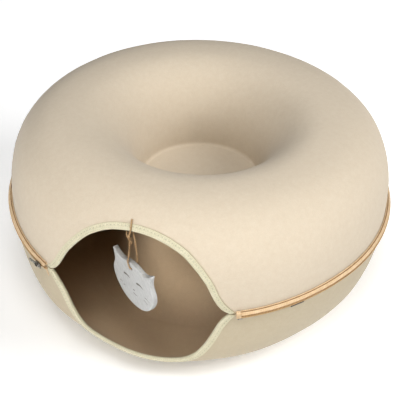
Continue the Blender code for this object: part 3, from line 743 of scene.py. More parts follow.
def plate_finish():
    """Whitewashed board: pale grey-white with faint streaks and small specks."""
    f = Finish("whitewashed_board", 0.55, Specular_IOR_Level=0.35)
    rotation = (0.0, math.radians(38.0), math.radians(-PLATE_TURN))
    turned = f.get("ShaderNodeMapping", {"Vector": f.place, "Rotation": rotation})
    streak = f.noise(f.stretched(turned, (1.0, 1.0, 0.10)), 420.0, 4.0, 0.6, 0.3)
    speck = f.noise(f.place, 900.0, 2.0)
    shades = (
        (0.30, (0.43, 0.43, 0.42)),
        (0.52, (0.495, 0.495, 0.485)),
        (0.75, (0.54, 0.54, 0.525)),
    )
    tone = f.mix(f.level(speck, 0.66, 0.78, 0.0, 0.25), f.ramp(streak, shades), (0.50, 0.47, 0.42))
    return f.wear(tone, f.sum((streak, 0.00012), (speck, 0.00004)))


def metal_finish(name, colour, roughness):
    """Cast zip metal with a fine grain and lighter rubbed places."""
    f = Finish(name, roughness, Metallic=1.0)
    grain = f.noise(f.place, 1800.0, 3.0)
    rubbed = f.noise(f.place, 350.0, 2.0)
    tone = f.mix(f.level(rubbed, 0.4, 0.7), colour, tuple(min(1.0, 2.6 * c) for c in colour))
    return f.wear(tone, grain, 0.00008, f.level(grain, 0.3, 0.7, roughness - 0.08, roughness + 0.12))


def plain_finish(name, colour, other, scale, roughness):
    """A painted or moulded surface with a slight unevenness."""
    f = Finish(name, roughness)
    spread = f.noise(f.place, scale, 3.0)
    return f.wear(f.mix(f.level(spread, 0.35, 0.65), colour, other), spread, 0.0001)


# Node trees for what repeats


class Grower(NodeTree):
    """A geometry node tree with named inputs, ending in one plain mesh."""

    def __init__(self, name, **inputs):
        super().__init__(bpy.data.node_groups.new(name, "GeometryNodeTree"))
        face = self.tree.interface
        face.new_socket("Geometry", in_out="INPUT", socket_type="NodeSocketGeometry")
        for label, value in inputs.items():
            kind = "NodeSocketInt" if isinstance(value, int) else "NodeSocketFloat"
            face.new_socket(label, in_out="INPUT", socket_type=kind).default_value = value
        face.new_socket("Finish", in_out="INPUT", socket_type="NodeSocketMaterial")
        face.new_socket("Geometry", in_out="OUTPUT", socket_type="NodeSocketGeometry")
        self.start = self.add("NodeGroupInput").outputs

    def attribute(self, name, kind):
        return self.get("GeometryNodeInputNamedAttribute", {"Name": name}, data_type=kind)

    def vector(self, x, z=0.0):
        return self.get("ShaderNodeCombineXYZ", {"X": x, "Z": z})

    def circle(self, sides, radius):
        return self.get("GeometryNodeCurvePrimitiveCircle", {"Resolution": sides, "Radius": radius})

    def tube(self, curve, section, caps=True):
        values = {"Curve": curve, "Profile Curve": section, "Fill Caps": caps}
        return self.get("GeometryNodeCurveToMesh", values)

    def bow(self, steps, start, middle, end):
        """A bent line, its ends and its pull given along and up."""
        values = {"Resolution": steps}
        for label, place in (("Start", start), ("Middle", middle), ("End", end)):
            values[label] = self.vector(*place)
        return self.get("GeometryNodeCurveQuadraticBezier", values)

    def spaced_line(self, pitch):
        """The base's line with points a pitch apart."""
        line = self.get("GeometryNodeMeshToCurve", {0: self.start["Geometry"]})
        return self.get("GeometryNodeResampleCurve", {"Curve": line, "Length": pitch}, mode="LENGTH")

    def facing(self):
        """Turns that lie along the line and face outwards."""
        values = {
            "Primary Axis": self.attribute("outward", "FLOAT_VECTOR"),
            "Secondary Axis": self.get("GeometryNodeInputTangent"),
        }
        axes = {"primary_axis": "Z", "secondary_axis": "X"}
        return self.get("FunctionNodeAxesToRotation", values, **axes)

    def varied(self, low, high):
        """A random number for each copy."""
        values = {2: low, 3: high, "Seed": self.start["Seed"]}
        return self.add("FunctionNodeRandomValue", values, data_type="FLOAT").outputs[1]

    def copies(self, points, part, turn, scale=(1.0, 1.0, 1.0)):
        """The same part on every point, as the tree's result."""
        values = {"Points": points, "Instance": part, "Rotation": turn, "Scale": scale}
        return self.finish(self.get("GeometryNodeInstanceOnPoints", values))

    def finish(self, geometry):
        plain = self.get("GeometryNodeRealizeInstances", {"Geometry": geometry})
        smooth = self.get("GeometryNodeSetShadeSmooth", {"Geometry": plain})
        values = {"Geometry": smooth, "Material": self.start["Finish"]}
        self.add("NodeGroupOutput", {0: self.get("GeometryNodeSetMaterial", values)})
        return self.tree


def grow(name, base, tree, finish, keep_base=False):
    """Run a node tree on a base and keep what it makes as a plain piece."""
    step = base.modifiers.new(tree.name, "NODES")
    step.node_group = tree
    for item in tree.interface.items_tree:
        if item.name == "Finish":
            step[item.identifier] = finish
    seen = base.evaluated_get(bpy.context.evaluated_depsgraph_get())
    mesh = bpy.data.meshes.new_from_object(seen)
    mesh.name = name
    mesh.materials.clear()
    mesh.materials.append(finish)
    mesh.polygons.foreach_set("material_index", [0] * len(mesh.polygons))
    base.modifiers.remove(step)
    if not keep_base:
        bpy.data.objects.remove(base)
    return show(name, mesh)


def surface_tree():
    """Soft lumps in a moulded sheet, none at its bound edges or its foot."""
    g = Grower("felt_surface", Unevenness=UNEVENNESS, Lump_size=LUMP_SIZE)
    place = g.get("GeometryNodeInputPosition")
    scale = g.math("DIVIDE", 1.0, g.start["Lump_size"])
    noise = g.add("ShaderNodeTexNoise", {"Vector": place, "Scale": scale, "Detail": 2.0})
    lumps = g.math("SUBTRACT", noise.outputs["Fac"], 0.5)
    amount = g.math("MULTIPLY", g.math("MULTIPLY", lumps, g.start["Unevenness"]), 4.0)
    values = {
        0: g.attribute("outward", "FLOAT_VECTOR"),
        "Scale": g.math("MULTIPLY", amount, g.attribute("free", "FLOAT")),
    }
    offset = g.get("ShaderNodeVectorMath", values, operation="SCALE")
    values = {"Geometry": g.start["Geometry"], "Offset": offset}
    return g.finish(g.get("GeometryNodeSetPosition", values))


def stitch_tree():
    """A row of stitches: short round threads, sunk at both ends."""
    g = Grower(
        "stitch_row", Pitch=STITCH_PITCH, Length=STITCH_LENGTH, Thread=STITCH_THREAD, Seed=3
    )
    half = g.math("MULTIPLY", g.start["Length"], 0.5)
    back = g.math("MULTIPLY", half, -1.0)
    dip = g.math("MULTIPLY", g.start["Thread"], -STITCH_SINK)
    bow = g.bow(5, (back, dip), (0.0, g.start["Thread"]), (half, dip))
    thread = g.tube(bow, g.circle(6, g.start["Thread"]))
    return g.copies(g.spaced_line(g.start["Pitch"]), thread, g.facing(), g.varied(*STITCH_SIZES))


def coil_tree():
    """Coil of a zip: leaning loops side by side, flattened against the tape."""
    g = Grower(
        "zip_coil_loops", Pitch=LOOP_PITCH, Height=LOOP_HEIGHT, Depth=LOOP_DEPTH, Wire=LOOP_WIRE
    )
    lean = (math.radians(90.0), 0.0, math.radians(LOOP_LEAN))
    upright = g.get("GeometryNodeTransform", {"Geometry": g.circle(10, 1.0), "Rotation": lean})
    values = {"X": g.start["Height"], "Y": g.start["Height"], "Z": g.start["Depth"]}
    size = g.get("ShaderNodeCombineXYZ", values)
    loop = g.get("GeometryNodeTransform", {"Geometry": upright, "Scale": size})
    wire = g.tube(loop, g.circle(5, g.start["Wire"]), caps=False)
    return g.copies(g.spaced_line(g.start["Pitch"]), wire, g.facing())


def yarn_tree():
    """Two plies twisted round each other along a line."""
    g = Grower(
        "twisted_yarn", Radius=PLY_RADIUS, Offset=PLY_OFFSET, Twist=TWIST_PITCH, Step=YARN_STEP
    )
    way = g.add("GeometryNodeSplineParameter").outputs["Length"]
    tilt = g.math("MULTIPLY", g.math("DIVIDE", way, g.start["Twist"]), 2 * math.pi)
    values = {"Curve": g.spaced_line(g.start["Step"]), "Tilt": tilt}
    tilted = g.get("GeometryNodeSetCurveTilt", values)
    ply = g.circle(9, g.start["Radius"])
    both = g.add("GeometryNodeJoinGeometry")
    for side in (1.0, -1.0):
        shift = g.vector(g.math("MULTIPLY", g.start["Offset"], side))
        placed = g.get("GeometryNodeTransform", {"Geometry": ply, "Translation": shift})
        g.tree.links.new(placed, both.inputs[0])
    return g.finish(g.tube(tilted, both.outputs[0]))


def fibre_tree():
    """Loose fibres that rise from a surface and curl over."""
    g = Grower("loose_fibres", **TWINE_FIBRES)
    values = {"Mesh": g.start["Geometry"], "Density": g.start["Density"], "Seed": g.start["Seed"]}
    scattered = g.add("GeometryNodeDistributePointsOnFaces", values)
    tip = g.math("MULTIPLY", g.start["Rise"], 0.45)
    curl = g.bow(3, (0.0, 0.0), (0.40, g.start["Rise"]), (1.0, tip))
    relative = g.math("DIVIDE", g.start["Thickness"], g.start["Length"])
    fibre = g.tube(curl, g.circle(3, relative))
    values = {0: (0.0, 0.0, 0.0), 1: (0.0, 0.0, 2 * math.pi), "Seed": g.start["Seed"]}
    about = g.get("FunctionNodeRandomValue", values, data_type="FLOAT_VECTOR")
    values = {"Rotation": scattered.outputs["Rotation"], "Rotate By": about}
    turn = g.get("FunctionNodeRotateRotation", values, rotation_space="LOCAL")
    size = g.math("MULTIPLY", g.varied(0.5, 1.3), g.start["Length"])
    return g.copies(scattered.outputs["Points"], fibre, turn, size)


def line_object(name, points, outward=()):
    """A bare line of edges, with the direction that it faces at each point."""
    mesh = bpy.data.meshes.new(name)
    mesh.from_pydata([tuple(p) for p in points], [(i, i + 1) for i in range(len(points) - 1)], [])
    if outward:
        write_attribute(mesh, "outward", outward, "FLOAT_VECTOR")
    return show(name, mesh)


# Felt and its bound mouth


def seat(piece, body, slot, *nodes):
    """Ride on a body and stand for the frame's nodes; the slot is not used."""
    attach(piece, body)
    if nodes:
        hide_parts(*nodes)
    return piece


def felt_half(name, half, finish):
    """A felt half: its outer face, its inner face and the edges between them."""
    mouth = half.mouth_stations(MOUTH_COLUMNS)[:, 0]
    right = np.linspace(RIGHT_CORNER, 180.0, SIDE_COLUMNS)[1:]
    left = np.linspace(LEFT_CORNER, -180.0, SIDE_COLUMNS)[1:-1]
    angles = np.concatenate((mouth, right, left[::-1]))
    wall = np.linspace(0.0, 1.0, WALL_ROWS) ** 1.15
    fillet = (1.935, 1.95, 1.965, 1.98, 1.99, 2.0, 2.008, 2.016, 2.026, 2.036, 2.05)
    well = np.concatenate((np.linspace(1.0, 1.92, 24)[1:], fillet, (2.2, 2.45, 2.7)))
    if half.side < 0:
        beside_flat = (0.955, 0.975, 0.99, 1.012, 1.03, 1.06)
        well = np.concatenate((well, beside_flat))
    points, outward, free = [], [], []
    for lift in (0.0, -FELT):
        for angle in angles:
            start = half.edge_share(angle)
            shares = np.sort(np.concatenate((start + (1.0 - start) * wall, well)))
            for share in shares:
                place = half.point(angle, share, lift)
                points.append(place)
                outward.append(half.outward(angle, share))
                from_edge = abs(share - start) * half.outer_length
                above = place.z if half.side < 0 else 1.0
                loose = ease(from_edge / LUMP_FADE - LUMP_MARGIN)
                free.append(loose * ease((above - FOOT_HEIGHT) / LUMP_FADE))
        points.append(half.point(0.0, 3.0, lift))
        outward.append(half.outward(0.0, 3.0))
        free.append(1.0)
    rows = len(shares)
    columns = len(angles)
    block = rows * columns + 1
    faces = []
    for base in (0, block):
        for j in range(columns):
            a = base + j * rows
            b = base + ((j + 1) % columns) * rows
            for i in range(rows - 1):
                faces.append((a + i, b + i, b + i + 1, a + i + 1))
            faces.append((a + rows - 1, b + rows - 1, base + block - 1))
    for j in range(columns):
        k = (j + 1) % columns
        faces.append((j * rows, block + j * rows, block + k * rows, k * rows))
    base = smooth_piece(name + "_base", points, faces, finish)
    write_attribute(base.data, "outward", outward, "FLOAT_VECTOR")
    write_attribute(base.data, "free", free)
    write_attribute(base.data, "inner", np.repeat((0.0, 1.0), block))
    made = grow(name, base, TREES["surface"], finish)
    for label in ("outward", "free"):
        made.data.attributes.remove(made.data.attributes[label])
    return made


def beside_edge(half, places, i, inset, lift):
    """A point beside the mouth's edge: inset into the felt, lifted off its face."""
    angle, share, way = places[i]
    a, b = places[max(0, i - 1)], places[min(len(places) - 1, i + 1)]
    r = half.at(share)[0]
    along = np.array((math.radians(b[0] - a[0]) * r, (b[1] - a[1]) * half.outer_length))
    along /= np.linalg.norm(along)
    across = np.array((-along[1], along[0]))
    from_end = min(way, places[-1][2] - way)
    if from_end < TAPE_END_LENGTH:
        side = -1.0 if way < TAPE_END_LENGTH else 1.0
        end = np.array((side * TAPE_END_ALONG, TAPE_END_RISE)) / TAPE_WIDTH
        share_of_end = 1.0 - from_end / TAPE_END_LENGTH
        across = across * (1.0 - share_of_end) + end * share_of_end
    step = across * inset
    return angle + math.degrees(step[0] / r), share + step[1] / half.outer_length, lift


def tape_section():
    """The folded tape's section: inset and lift, its raw edges turned in."""
    near, far = TAPE_CLEARANCE, TAPE_CLEARANCE + TAPE
    outer = [
        (TAPE_WIDTH - 0.0002, near),
        (TAPE_WIDTH, near + 0.45 * TAPE),
        (TAPE_WIDTH - 0.0003, far + 0.00012),
        (TAPE_WIDTH - 0.0012, far + 0.00016),
        (TAPE_WIDTH - 0.0020, far),
        (TAPE_WIDTH * 0.60, far - 0.00005),
        (TAPE_WIDTH * 0.45, far),
        (TAPE_WIDTH * 0.28, far + 0.00005),
        (TAPE_WIDTH * 0.12, far + 0.00005),
        (0.0, far),
        (-TAPE_NOSE - 0.75 * TAPE, 0.0002),
        (-TAPE_NOSE - TAPE, -0.30 * FELT),
    ]
    mirrored = [(w, -FELT - h) for w, h in reversed(outer)]
    lining = [
        (TAPE_WIDTH * 0.5, near),
        (0.0, near),
        (-TAPE_NOSE, -0.1 * FELT),
        (-TAPE_NOSE, -0.9 * FELT),
        (0.0, -FELT - near),
        (TAPE_WIDTH * 0.5, -FELT - near),
    ]
    return outer + mirrored + lining[::-1]


def bias_tape(name, half, finish):
    """Tape folded over the mouth's edge, drawn in a little at each stitch."""
    places = half.mouth_stations(TAPE_COLUMNS)
    section = tape_section()
    skin = TAPE_CLEARANCE + 0.5 * TAPE
    points = []
    for i, (_, _, way) in enumerate(places):
        drawn = PUCKER * (0.5 + 0.5 * math.cos(2 * math.pi * way / STITCH_PITCH))
        for inset, lift in section:
            pull = drawn * math.exp(-(((inset - STITCH_INSET) / PUCKER_WIDTH) ** 2))
            if lift > skin:
                lift -= pull
            if lift < -FELT - skin:
                lift += pull
            points.append(half.point(*beside_edge(half, places, i, inset, lift)))
    made = swept(name, points, len(section), finish)
    cloth_map(made, places[:, 2], way_along(section))
    return made


def tape_stitches(name, half, finish):
    """The row of stitches along the tape, on its outer and its inner leaf."""
    places = half.mouth_stations(TAPE_COLUMNS)
    top = TAPE_CLEARANCE + TAPE
    rows = []
    for leaf, side, lift in (("outer", 1.0, top), ("inner", -1.0, -FELT - top)):
        points, facing = [], []
        for i in range(3, TAPE_COLUMNS - 3):
            angle, share, height = beside_edge(half, places, i, STITCH_INSET, lift)
            points.append(half.point(angle, share, height))
            facing.append(half.outward(angle, share) * side)
        line = line_object(name + "_line", points, facing)
        rows.append(grow(f"{name}_{leaf}", line, TREES["stitch"], finish))
    return joined(name, rows)


# Zip


def seam_band(name, finish, section, end, shape=None, around=BAND_AROUND):
    """A band that follows the seam round the back, by its section's reach and height."""
    section = smooth_line(section, around, closed=True)
    angles = np.linspace(TAB_END, end, BAND_RINGS)
    points = []
    for angle in angles:
        for reach, height in section:
            if shape is not None:
                reach, height = shape(angle, reach, height)
            points.append(seam_point(angle, reach, height))
    made = swept(name, points, around, finish)
    cloth_map(made, [math.radians(angle) * SHELL_RADIUS for angle in angles], way_along(section))
    return made


def drooping_end(angle, reach, height):
    """The lower tape parting from the zip past the slider, down to a thin end."""
    past = ease((angle - PARTING_START) / PARTING_LENGTH)
    reach = reach * (1.0 - PARTING_THINNING * past) + PARTING_LIFT * past
    return reach, height - PARTING_DROP * past


def groove_section():
    """Eight corners of a thin dark tube in the upper tape's groove, partly the tape's edge and partly
    painted shade.
    """
    reach, height = GROOVE_MIDDLE
    corners = [math.radians(45.0 * k) for k in range(8)]
    return [(reach + GROOVE_RADIUS * math.cos(a), height + GROOVE_RADIUS * math.sin(a)) for a in corners]


def coil_loops(name, finish):
    """The coil's loops side by side all along the zip."""
    points, facing = [], []
    for angle in np.linspace(TAB_END, SLIDER_END, 600):
        points.append(seam_point(angle, *LOOP_LINE))
        facing.append(directions(angle)[0])
    return grow(name, line_object(name + "_line", points, facing), TREES["coil"], finish)


def tape_tail(name, finish):
    """The lower tape's thin end beside the lower binding."""
    points = []
    for i, (angle, height) in enumerate(smooth_line(TAIL_ROUTE, TAIL_RINGS)):
        share = lower.share_at_height(angle, height)
        width = TAIL_HALF_WIDTH * (1.0 - 0.6 * (i / (TAIL_RINGS - 1)) ** 2)
        for side, lift in TAIL_SECTION:
            points.append(lower.point(angle + side * width, share, lift))
    made = swept(name, points, len(TAIL_SECTION), finish)
    across = [0.0004 * k for k in range(len(TAIL_SECTION))]
    cloth_map(made, [0.0006 * i for i in range(TAIL_RINGS)], across)
    return made


def pressed_block(name, finish, place, size, rings, around, squareness, swell):
    """A rounded block pressed onto the zip's end, as deep and high along it as swell says."""
    angle, level = place
    length, depth, height = size
    out, along = directions(angle)
    centre = seam_point(angle, ZIP_GAP, level)
    points = []
    for t in np.linspace(-1.0, 1.0, rings):
        deep, high = swell(t)
        for k in range(around):
            a = 2 * math.pi * k / around
            c, s = (math.copysign(abs(x) ** squareness, x) for x in (math.cos(a), math.sin(a)))
            up = Vector((0.0, 0.0, height * s * high))
            points.append(centre + along * (length * t) + out * (depth + depth * c * deep) + up)
    return swept(name, points, around, finish)


def crimped_stop(name, finish):
    """The metal stop bent round the zip's end, with a dent pressed into its middle."""

    def swell(t):
        both = (1.0 - 0.25 * abs(t) ** 8) * (1.0 - 0.22 * math.exp(-((t / 0.22) ** 2)))
        return both, both

    return pressed_block(name, finish, STOP_PLACE, STOP_SIZE, 17, 20, 0.60, swell)


def folded_tab(name, finish):
    """Zip tape folded over the zip's end and pressed flat, with two soft ridges."""
    rings, around = 15, 28

    def swell(t):
        rim = 1.0 - 0.10 * abs(t) ** 6
        return rim * (1.0 + 0.05 * math.cos(2 * math.pi * (t + 1.0))), rim

    made = pressed_block(name, finish, TAB_PLACE, TAB_SIZE, rings, around, 0.55, swell)
    ways = [2 * TAB_SIZE[0] * i / rings for i in range(rings)]
    cloth_map(made, ways, [4 * TAB_SIZE[2] * k / around for k in range(around)])
    return made


# Cat-head plate


def from_hang(across, front, up):
    """A point given across the plate, towards its face and up, from the pivot."""
    turn = math.radians(PLATE_TURN)
    x = across * math.cos(turn) + front * math.sin(turn)
    y = across * math.sin(turn) - front * math.cos(turn)
    return round_point(HANG_ANGLE, HANG_RADIUS, HANG_HEIGHT) + Vector((x, y, up))


def on_plate(across, front, up):
    """A point on the plate: across and up from its hole, towards its face from its middle."""
    return from_hang(across, front, up - PLATE_HOLE_DROP)


def plate_outline():
    """The cat head's outline about its hole, with each point's way from an ear's tip."""
    right = np.vstack((smooth_line(PLATE_TOP, 60)[:-1], smooth_line(PLATE_SIDE, 120)))
    left = right[1:-1][::-1] * (-1.0, 1.0)
    whole = np.vstack((right, left)) + (PLATE_OFFSET, 0.0)
    across, up = PLATE_TOP[-1]
    tips = [np.array((side * across + PLATE_OFFSET, up)) for side in (1, -1)]
    from_tip = np.min([np.linalg.norm(whole - tip, axis=1) for tip in tips], axis=0)
    for _ in range(EAR_ROUNDING):
        even = (np.roll(whole, 1, axis=0) + np.roll(whole, -1, axis=0)) / 2
        whole = np.where(from_tip[:, None] < EAR_REACH, even, whole)
    ahead = np.roll(whole, -1, axis=0) - np.roll(whole, 1, axis=0)
    ahead /= np.linalg.norm(ahead, axis=1)[:, None]
    inward = np.column_stack((ahead[:, 1], -ahead[:, 0]))
    roll = math.radians(PLATE_ROLL)
    spin = np.array(((math.cos(roll), math.sin(roll)), (-math.sin(roll), math.cos(roll))))
    return whole @ spin, inward @ spin, from_tip


def cat_plate(name, finish):
    """The cat-head plate with rounded edges and a countersunk hole."""
    outline, inward, from_tip = plate_outline()
    edge = np.clip(EAR_EDGE + from_tip * 0.3, EAR_EDGE, PLATE_EDGE)
    half = PLATE_THICKNESS / 2
    rounds = [math.radians(a) for a in (0.0, 22.0, 45.0, 68.0, 90.0)]
    profile = [(1.0 - math.sin(a), half, math.cos(a) - 1.0) for a in rounds]
    profile += [(inset, -level, -drop) for inset, level, drop in reversed(profile)]
    bm = bmesh.new()
    rings = []
    for inset, level, drop in profile:
        ring = []
        for (x, z), (nx, nz), e in zip(outline, inward, edge):
            place = on_plate(x + nx * e * inset, level + drop * e, z + nz * e * inset)
            ring.append(bm.verts.new(place))
        rings.append(ring)
    for a, b in zip(rings, rings[1:]):
        bridge(bm, a, b)
    wide = PLATE_HOLE_RADIUS + PLATE_HOLE_SINK
    deep = half - PLATE_HOLE_SINK
    holes = []
    for radius, depth in (
        (wide, half),
        (PLATE_HOLE_RADIUS, deep),
        (PLATE_HOLE_RADIUS, -deep),
        (wide, -half),
    ):
        corners = [2 * math.pi * k / PLATE_HOLE_CORNERS for k in range(PLATE_HOLE_CORNERS)]
        places = [on_plate(radius * math.cos(a), depth, radius * math.sin(a)) for a in corners]
        holes.append([bm.verts.new(place) for place in places])
    for a, b in zip(holes, holes[1:]):
        bridge(bm, b, a)
    for face in ((rings[0], holes[0]), (rings[-1], holes[-1])):
        borders = []
        for ring in face:
            borders += [bm.edges.get(ends) for ends in zip(ring, ring[1:] + ring[:1])]
        bmesh.ops.triangle_fill(bm, edges=borders, use_beauty=True)
    return finish_mesh(name, bm, finish, 35.0)


def face_marks(name, finish):
    """The painted cat face: low strokes of paint that taper to the right."""
    roll = math.radians(MARK_ROLL)
    bm = bmesh.new()
    for width, *points in FACE_MARKS.values():
        line = smooth_line(points, MARK_STEPS + 1)
        ahead = np.gradient(line, axis=0)
        ahead /= np.linalg.norm(ahead, axis=1)[:, None]
        rings = []
        for i, ((x, z), (dx, dz)) in enumerate(zip(line, ahead)):
            t = i / MARK_STEPS
            half = 0.5 * width * math.sqrt(min(1.0, 9 * t)) * (1.0 - 0.8 * t**1.6)
            half = max(half, MARK_THINNEST)
            ring = []
            for share, rise in MARK_SECTION:
                px, pz = x - dz * half * share, z + dx * half * share
                qx = px * math.cos(roll) - pz * math.sin(roll)
                qz = px * math.sin(roll) + pz * math.cos(roll)
                front = PLATE_THICKNESS / 2 + rise * MARK_HEIGHT
                ring.append(bm.verts.new(on_plate(qx, front, qz)))
            rings.append(ring)
        for a, b in zip(rings, rings[1:]):
            bridge(bm, a, b)
        for ring in (rings[0], rings[-1]):
            bm.faces.new(ring)
    return finish_mesh(name, bm, finish)


# Twine


def drop_route():
    """The twine from the knot through the plate's hole and back up."""
    top = PLATE_HOLE_RADIUS - TWINE_RADIUS - HOLE_CLEARANCE - PLATE_HOLE_DROP
    beyond = PLATE_THICKNESS / 2 + FACE_CLEARANCE
    through = (
        (-0.0006, beyond, top - 0.0001),
        (0.0000, 0.0020, top),
        (0.0002, -0.0020, top),
        (0.0006, -beyond, top - 0.0001),
    )
    return [from_hang(*p) for p in smooth_line(DROP_FRONT + through + DROP_BACK, 90)]


def wrap_routes(upper):
    """The twine through the felt and round the lip, with its knot and its free end."""
    knot = from_hang(*KNOT_PLACE)
    hole = upper.edge_share(FELT_HOLE_ANGLE) + FELT_HOLE_INSET / upper.outer_length
    outside = TWINE_OVER_TAPE + TWINE_RADIUS
    inside = -FELT - outside

    def beside(angle, inset, lift):
        share = upper.edge_share(angle) + inset / upper.outer_length
        return upper.point(angle, share, lift)

    through = [upper.point(FELT_HOLE_ANGLE, hole, lift) for lift in (0.0012, -0.0015, -0.0040)]
    outer_strand = [
        knot,
        beside(-1.75, -0.0080, 0.0016),
        beside(-1.55, -0.0020, outside + 0.0003),
        beside(-1.70, 0.0050, outside + 0.0001),
        beside(-2.00, 0.0105, outside + 0.0001),
        *through,
    ]
    inner_strand = [
        through[-1],
        beside(-2.60, 0.0090, inside - 0.0003),
        beside(-3.05, 0.0035, inside - 0.0002),
        beside(-3.15, -0.0030, inside + 0.0002),
        beside(-2.70, -0.0085, -0.0040),
        knot,
    ]
    back_strand = [
        upper.point(FELT_HOLE_ANGLE + 0.05, hole - 0.004, inside + 0.0006),
        beside(-1.50, 0.0080, inside - 0.0004),
        beside(-1.15, 0.0010, inside - 0.0002),
        beside(-1.00, -0.0050, inside + 0.0004),
        from_hang(*BACK_STRAND_TOP),
        from_hang(*BACK_STRAND_PLACE),
    ]
    across, front, rise = KNOT_PLACE
    turns = []
    for k in range(KNOT_STEPS + 1):
        a = 2 * math.pi * KNOT_TURNS * k / KNOT_STEPS
        up = KNOT_HALF_HEIGHT * (1.0 - 2.0 * k / KNOT_STEPS)
        x, y = across + KNOT_RADIUS * math.cos(a), front + KNOT_RADIUS * math.sin(a)
        turns.append(from_hang(x, y, rise + up))
    return {
        "outer": smooth_line(outer_strand, 60),
        "inner": smooth_line(inner_strand, 50),
        "back": smooth_line(back_strand, 50),
        "end": smooth_line([knot, *[from_hang(*p) for p in FREE_END]], 16),
        "knot": smooth_line(turns, 60),
    }


def yarn(name, routes, finish):
    """Twisted twine along its routes, with the loose fibres that stand off it."""
    parts = []
    for label, route in routes.items():
        line = line_object(name + "_line", route)
        parts.append(grow(f"{name}_{label}", line, TREES["yarn"], finish))
    made = joined(name, parts)
    return made, grow(name + "_fuzz", made, TREES["fibre"], finish, keep_base=True)


# Light and floor


def soft_lamp(name, place, width, power):
    """A large soft lamp that looks at the tunnel's middle."""
    data = bpy.data.lights.new(name, "AREA")
    data.shape = "DISK"
    data.size = width
    data.energy = power
    lamp = show(name, data)
    lamp.location = place
    lamp.rotation_euler = (Vector(LAMP_AIM) - Vector(place)).to_track_quat("-Z", "Y").to_euler()


def studio():
    """A pale floor, a white room and soft lamps."""
    white = (1.0, 1.0, 1.0, 1.0)
    world = bpy.data.worlds.new("white_room")
    world.use_nodes = True
    room = world.node_tree.nodes["Background"]
    room.inputs["Color"].default_value = white
    room.inputs["Strength"].default_value = ROOM_LIGHT
    bpy.context.scene.world = world
    view = bpy.context.scene.view_settings
    view.view_transform = "Standard"
    view.gamma = GAMMA
    for lamp in LAMPS:
        soft_lamp(*lamp)
    pale = Finish("pale_floor", 0.9, Base_Color=(0.90, 0.90, 0.90, 1.0), Emission_Color=white)
    depth = pale.add("ShaderNodeSeparateXYZ", {0: pale.place}).outputs["Y"]
    (near, low), (far, high) = FLOOR_GLOW_FRONT, FLOOR_GLOW_BACK
    glow = pale.level(depth, near, far, low, high)
    pale.tree.links.new(glow, pale.shader.inputs["Emission Strength"])
    mesh = bpy.data.meshes.new("floor")
    corners = [(x * FLOOR_REACH, y * FLOOR_REACH) for x, y in ((-1, -1), (1, -1), (1, 1), (-1, 1))]
    mesh.from_pydata([(x, y, FLOOR_LEVEL) for x, y in corners], [], [(0, 1, 2, 3)])
    mesh.materials.append(pale.made)
    floor = show("floor", mesh)


# The scene


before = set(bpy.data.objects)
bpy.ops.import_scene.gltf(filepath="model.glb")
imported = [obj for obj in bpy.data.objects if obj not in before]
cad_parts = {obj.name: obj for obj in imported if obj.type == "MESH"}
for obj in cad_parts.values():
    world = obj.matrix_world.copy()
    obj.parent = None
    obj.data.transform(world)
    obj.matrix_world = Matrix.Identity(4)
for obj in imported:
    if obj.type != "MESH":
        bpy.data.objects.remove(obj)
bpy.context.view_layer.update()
place_camera()
studio()

TREES = {
    "surface": surface_tree(),
    "stitch": stitch_tree(),
    "coil": coil_tree(),
    "yarn": yarn_tree(),
    "fibre": fibre_tree(),
}

felt_top = felt_finish("needle_felt_upper", *UPPER_PAINTED_LIGHT)
felt_base = felt_finish("needle_felt_lower", *LOWER_PAINTED_LIGHT)
tape_green = woven_finish(
    "green_bias_tape", (0.640, 0.600, 0.455), (0.580, 0.540, 0.390), border=TAPE_BORDER
)
tape_tan = woven_finish("tan_zip_tape", (0.700, 0.540, 0.360), (0.600, 0.430, 0.255), 0.0004, 0.4)
thread = plain_finish("grey_green_thread", (0.35, 0.34, 0.24), (0.44, 0.43, 0.32), 900.0, 0.7)
coil_brown = plain_finish("brown_nylon", (0.26, 0.150, 0.065), (0.36, 0.22, 0.10), 600.0, 0.45)
coil_loop = plain_finish("tan_nylon", (0.50, 0.320, 0.150), (0.60, 0.40, 0.20), 600.0, 0.40)
# The groove line's dark brown: partly the tape's edge and partly painted shade
groove_edge_and_shade = plain_finish("brown_cord", (0.17, 0.085, 0.030), (0.26, 0.14, 0.055), 700.0, 0.8)
gunmetal = metal_finish("gunmetal", (0.19, 0.180, 0.160), 0.30)
dark_strip = plain_finish("dark_strip", (0.060, 0.050, 0.045), (0.11, 0.10, 0.09), 500.0, 0.6)
board = plate_finish()
paint = plain_finish("grey_paint", (0.120, 0.110, 0.095), (0.20, 0.185, 0.16), 900.0, 0.6)
jute = jute_finish()

upper = Half(1, UPPER_RISE, UPPER_ROUNDNESS)
lower = Half(-1, ZIP_HEIGHT, LOWER_ROUNDNESS)

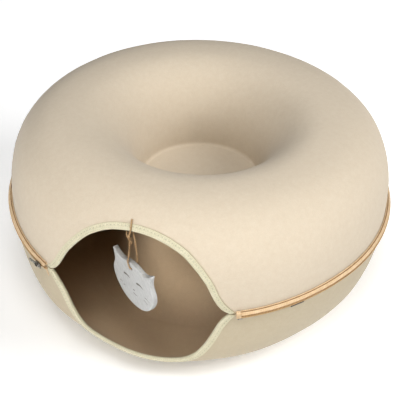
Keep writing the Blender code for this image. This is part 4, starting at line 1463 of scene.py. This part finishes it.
felt_upper = seat(felt_half("felt_upper", upper, felt_top), "tunnel", "felt", "upper_shell")
felt_lower = seat(felt_half("felt_lower", lower, felt_base), "tunnel", "felt", "lower_shell")
for label, half in (("upper", upper), ("lower", lower)):
    binding = bias_tape(f"binding_{label}", half, tape_green)
    seat(binding, "tunnel", "binding", f"mouth_binding_{label}")
    edge_length = half.mouth_stations(TAPE_COLUMNS)[-1][2]
    seat(tape_stitches(f"binding_stitches_{label}", half, thread), "tunnel", "binding")

zip_upper = seam_band("zip_upper", tape_tan, UPPER_TAPE_SECTION, ZIP_END)
seat(zip_upper, "tunnel", "zip_tape", "zip_tape_upper")
zip_lower = seam_band("zip_lower", tape_tan, LOWER_TAPE_SECTION, ZIP_END, drooping_end)
seat(zip_lower, "tunnel", "zip_tape", "zip_tape_lower")
zip_core = seam_band("zip_core", coil_brown, CORE_SECTION, SLIDER_END)
seat(zip_core, "tunnel", "zip_coil", "zip_coil")
zip_groove = seam_band("zip_groove", groove_edge_and_shade, groove_section(), ZIP_END, around=8)
seat(zip_groove, "tunnel", "zip_tape")
seat(coil_loops("zip_loops", coil_loop), "tunnel", "zip_coil")
seat(tape_tail("zip_tail", tape_tan), "tunnel", "zip_tape")
seat(crimped_stop("zip_clip", gunmetal), "tunnel", "zip_metal", "zip_stop")
seat(folded_tab("zip_tab", tape_tan), "tunnel", "zip_tape", "zip_end_tab")

for node, finish in (("zip_slider", gunmetal), ("zip_pull", gunmetal), ("side_tab", dark_strip)):
    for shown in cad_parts[node].material_slots:
        shown.material = finish

seat(cat_plate("cat_plate", board), "hanging_plate", "plate", "pendant")
seat(face_marks("cat_face", paint), "hanging_plate", "plate")
drop, drop_fuzz = yarn("twine_loop", {"whole": drop_route()}, jute)
seat(drop, "hanging_plate", "twine", "twine_drop")
seat(drop_fuzz, "hanging_plate", "twine")
wrap, wrap_fuzz = yarn("twine_tie", wrap_routes(upper), jute)
seat(wrap, "tunnel", "twine", "twine_wrap")
seat(wrap_fuzz, "tunnel", "twine")
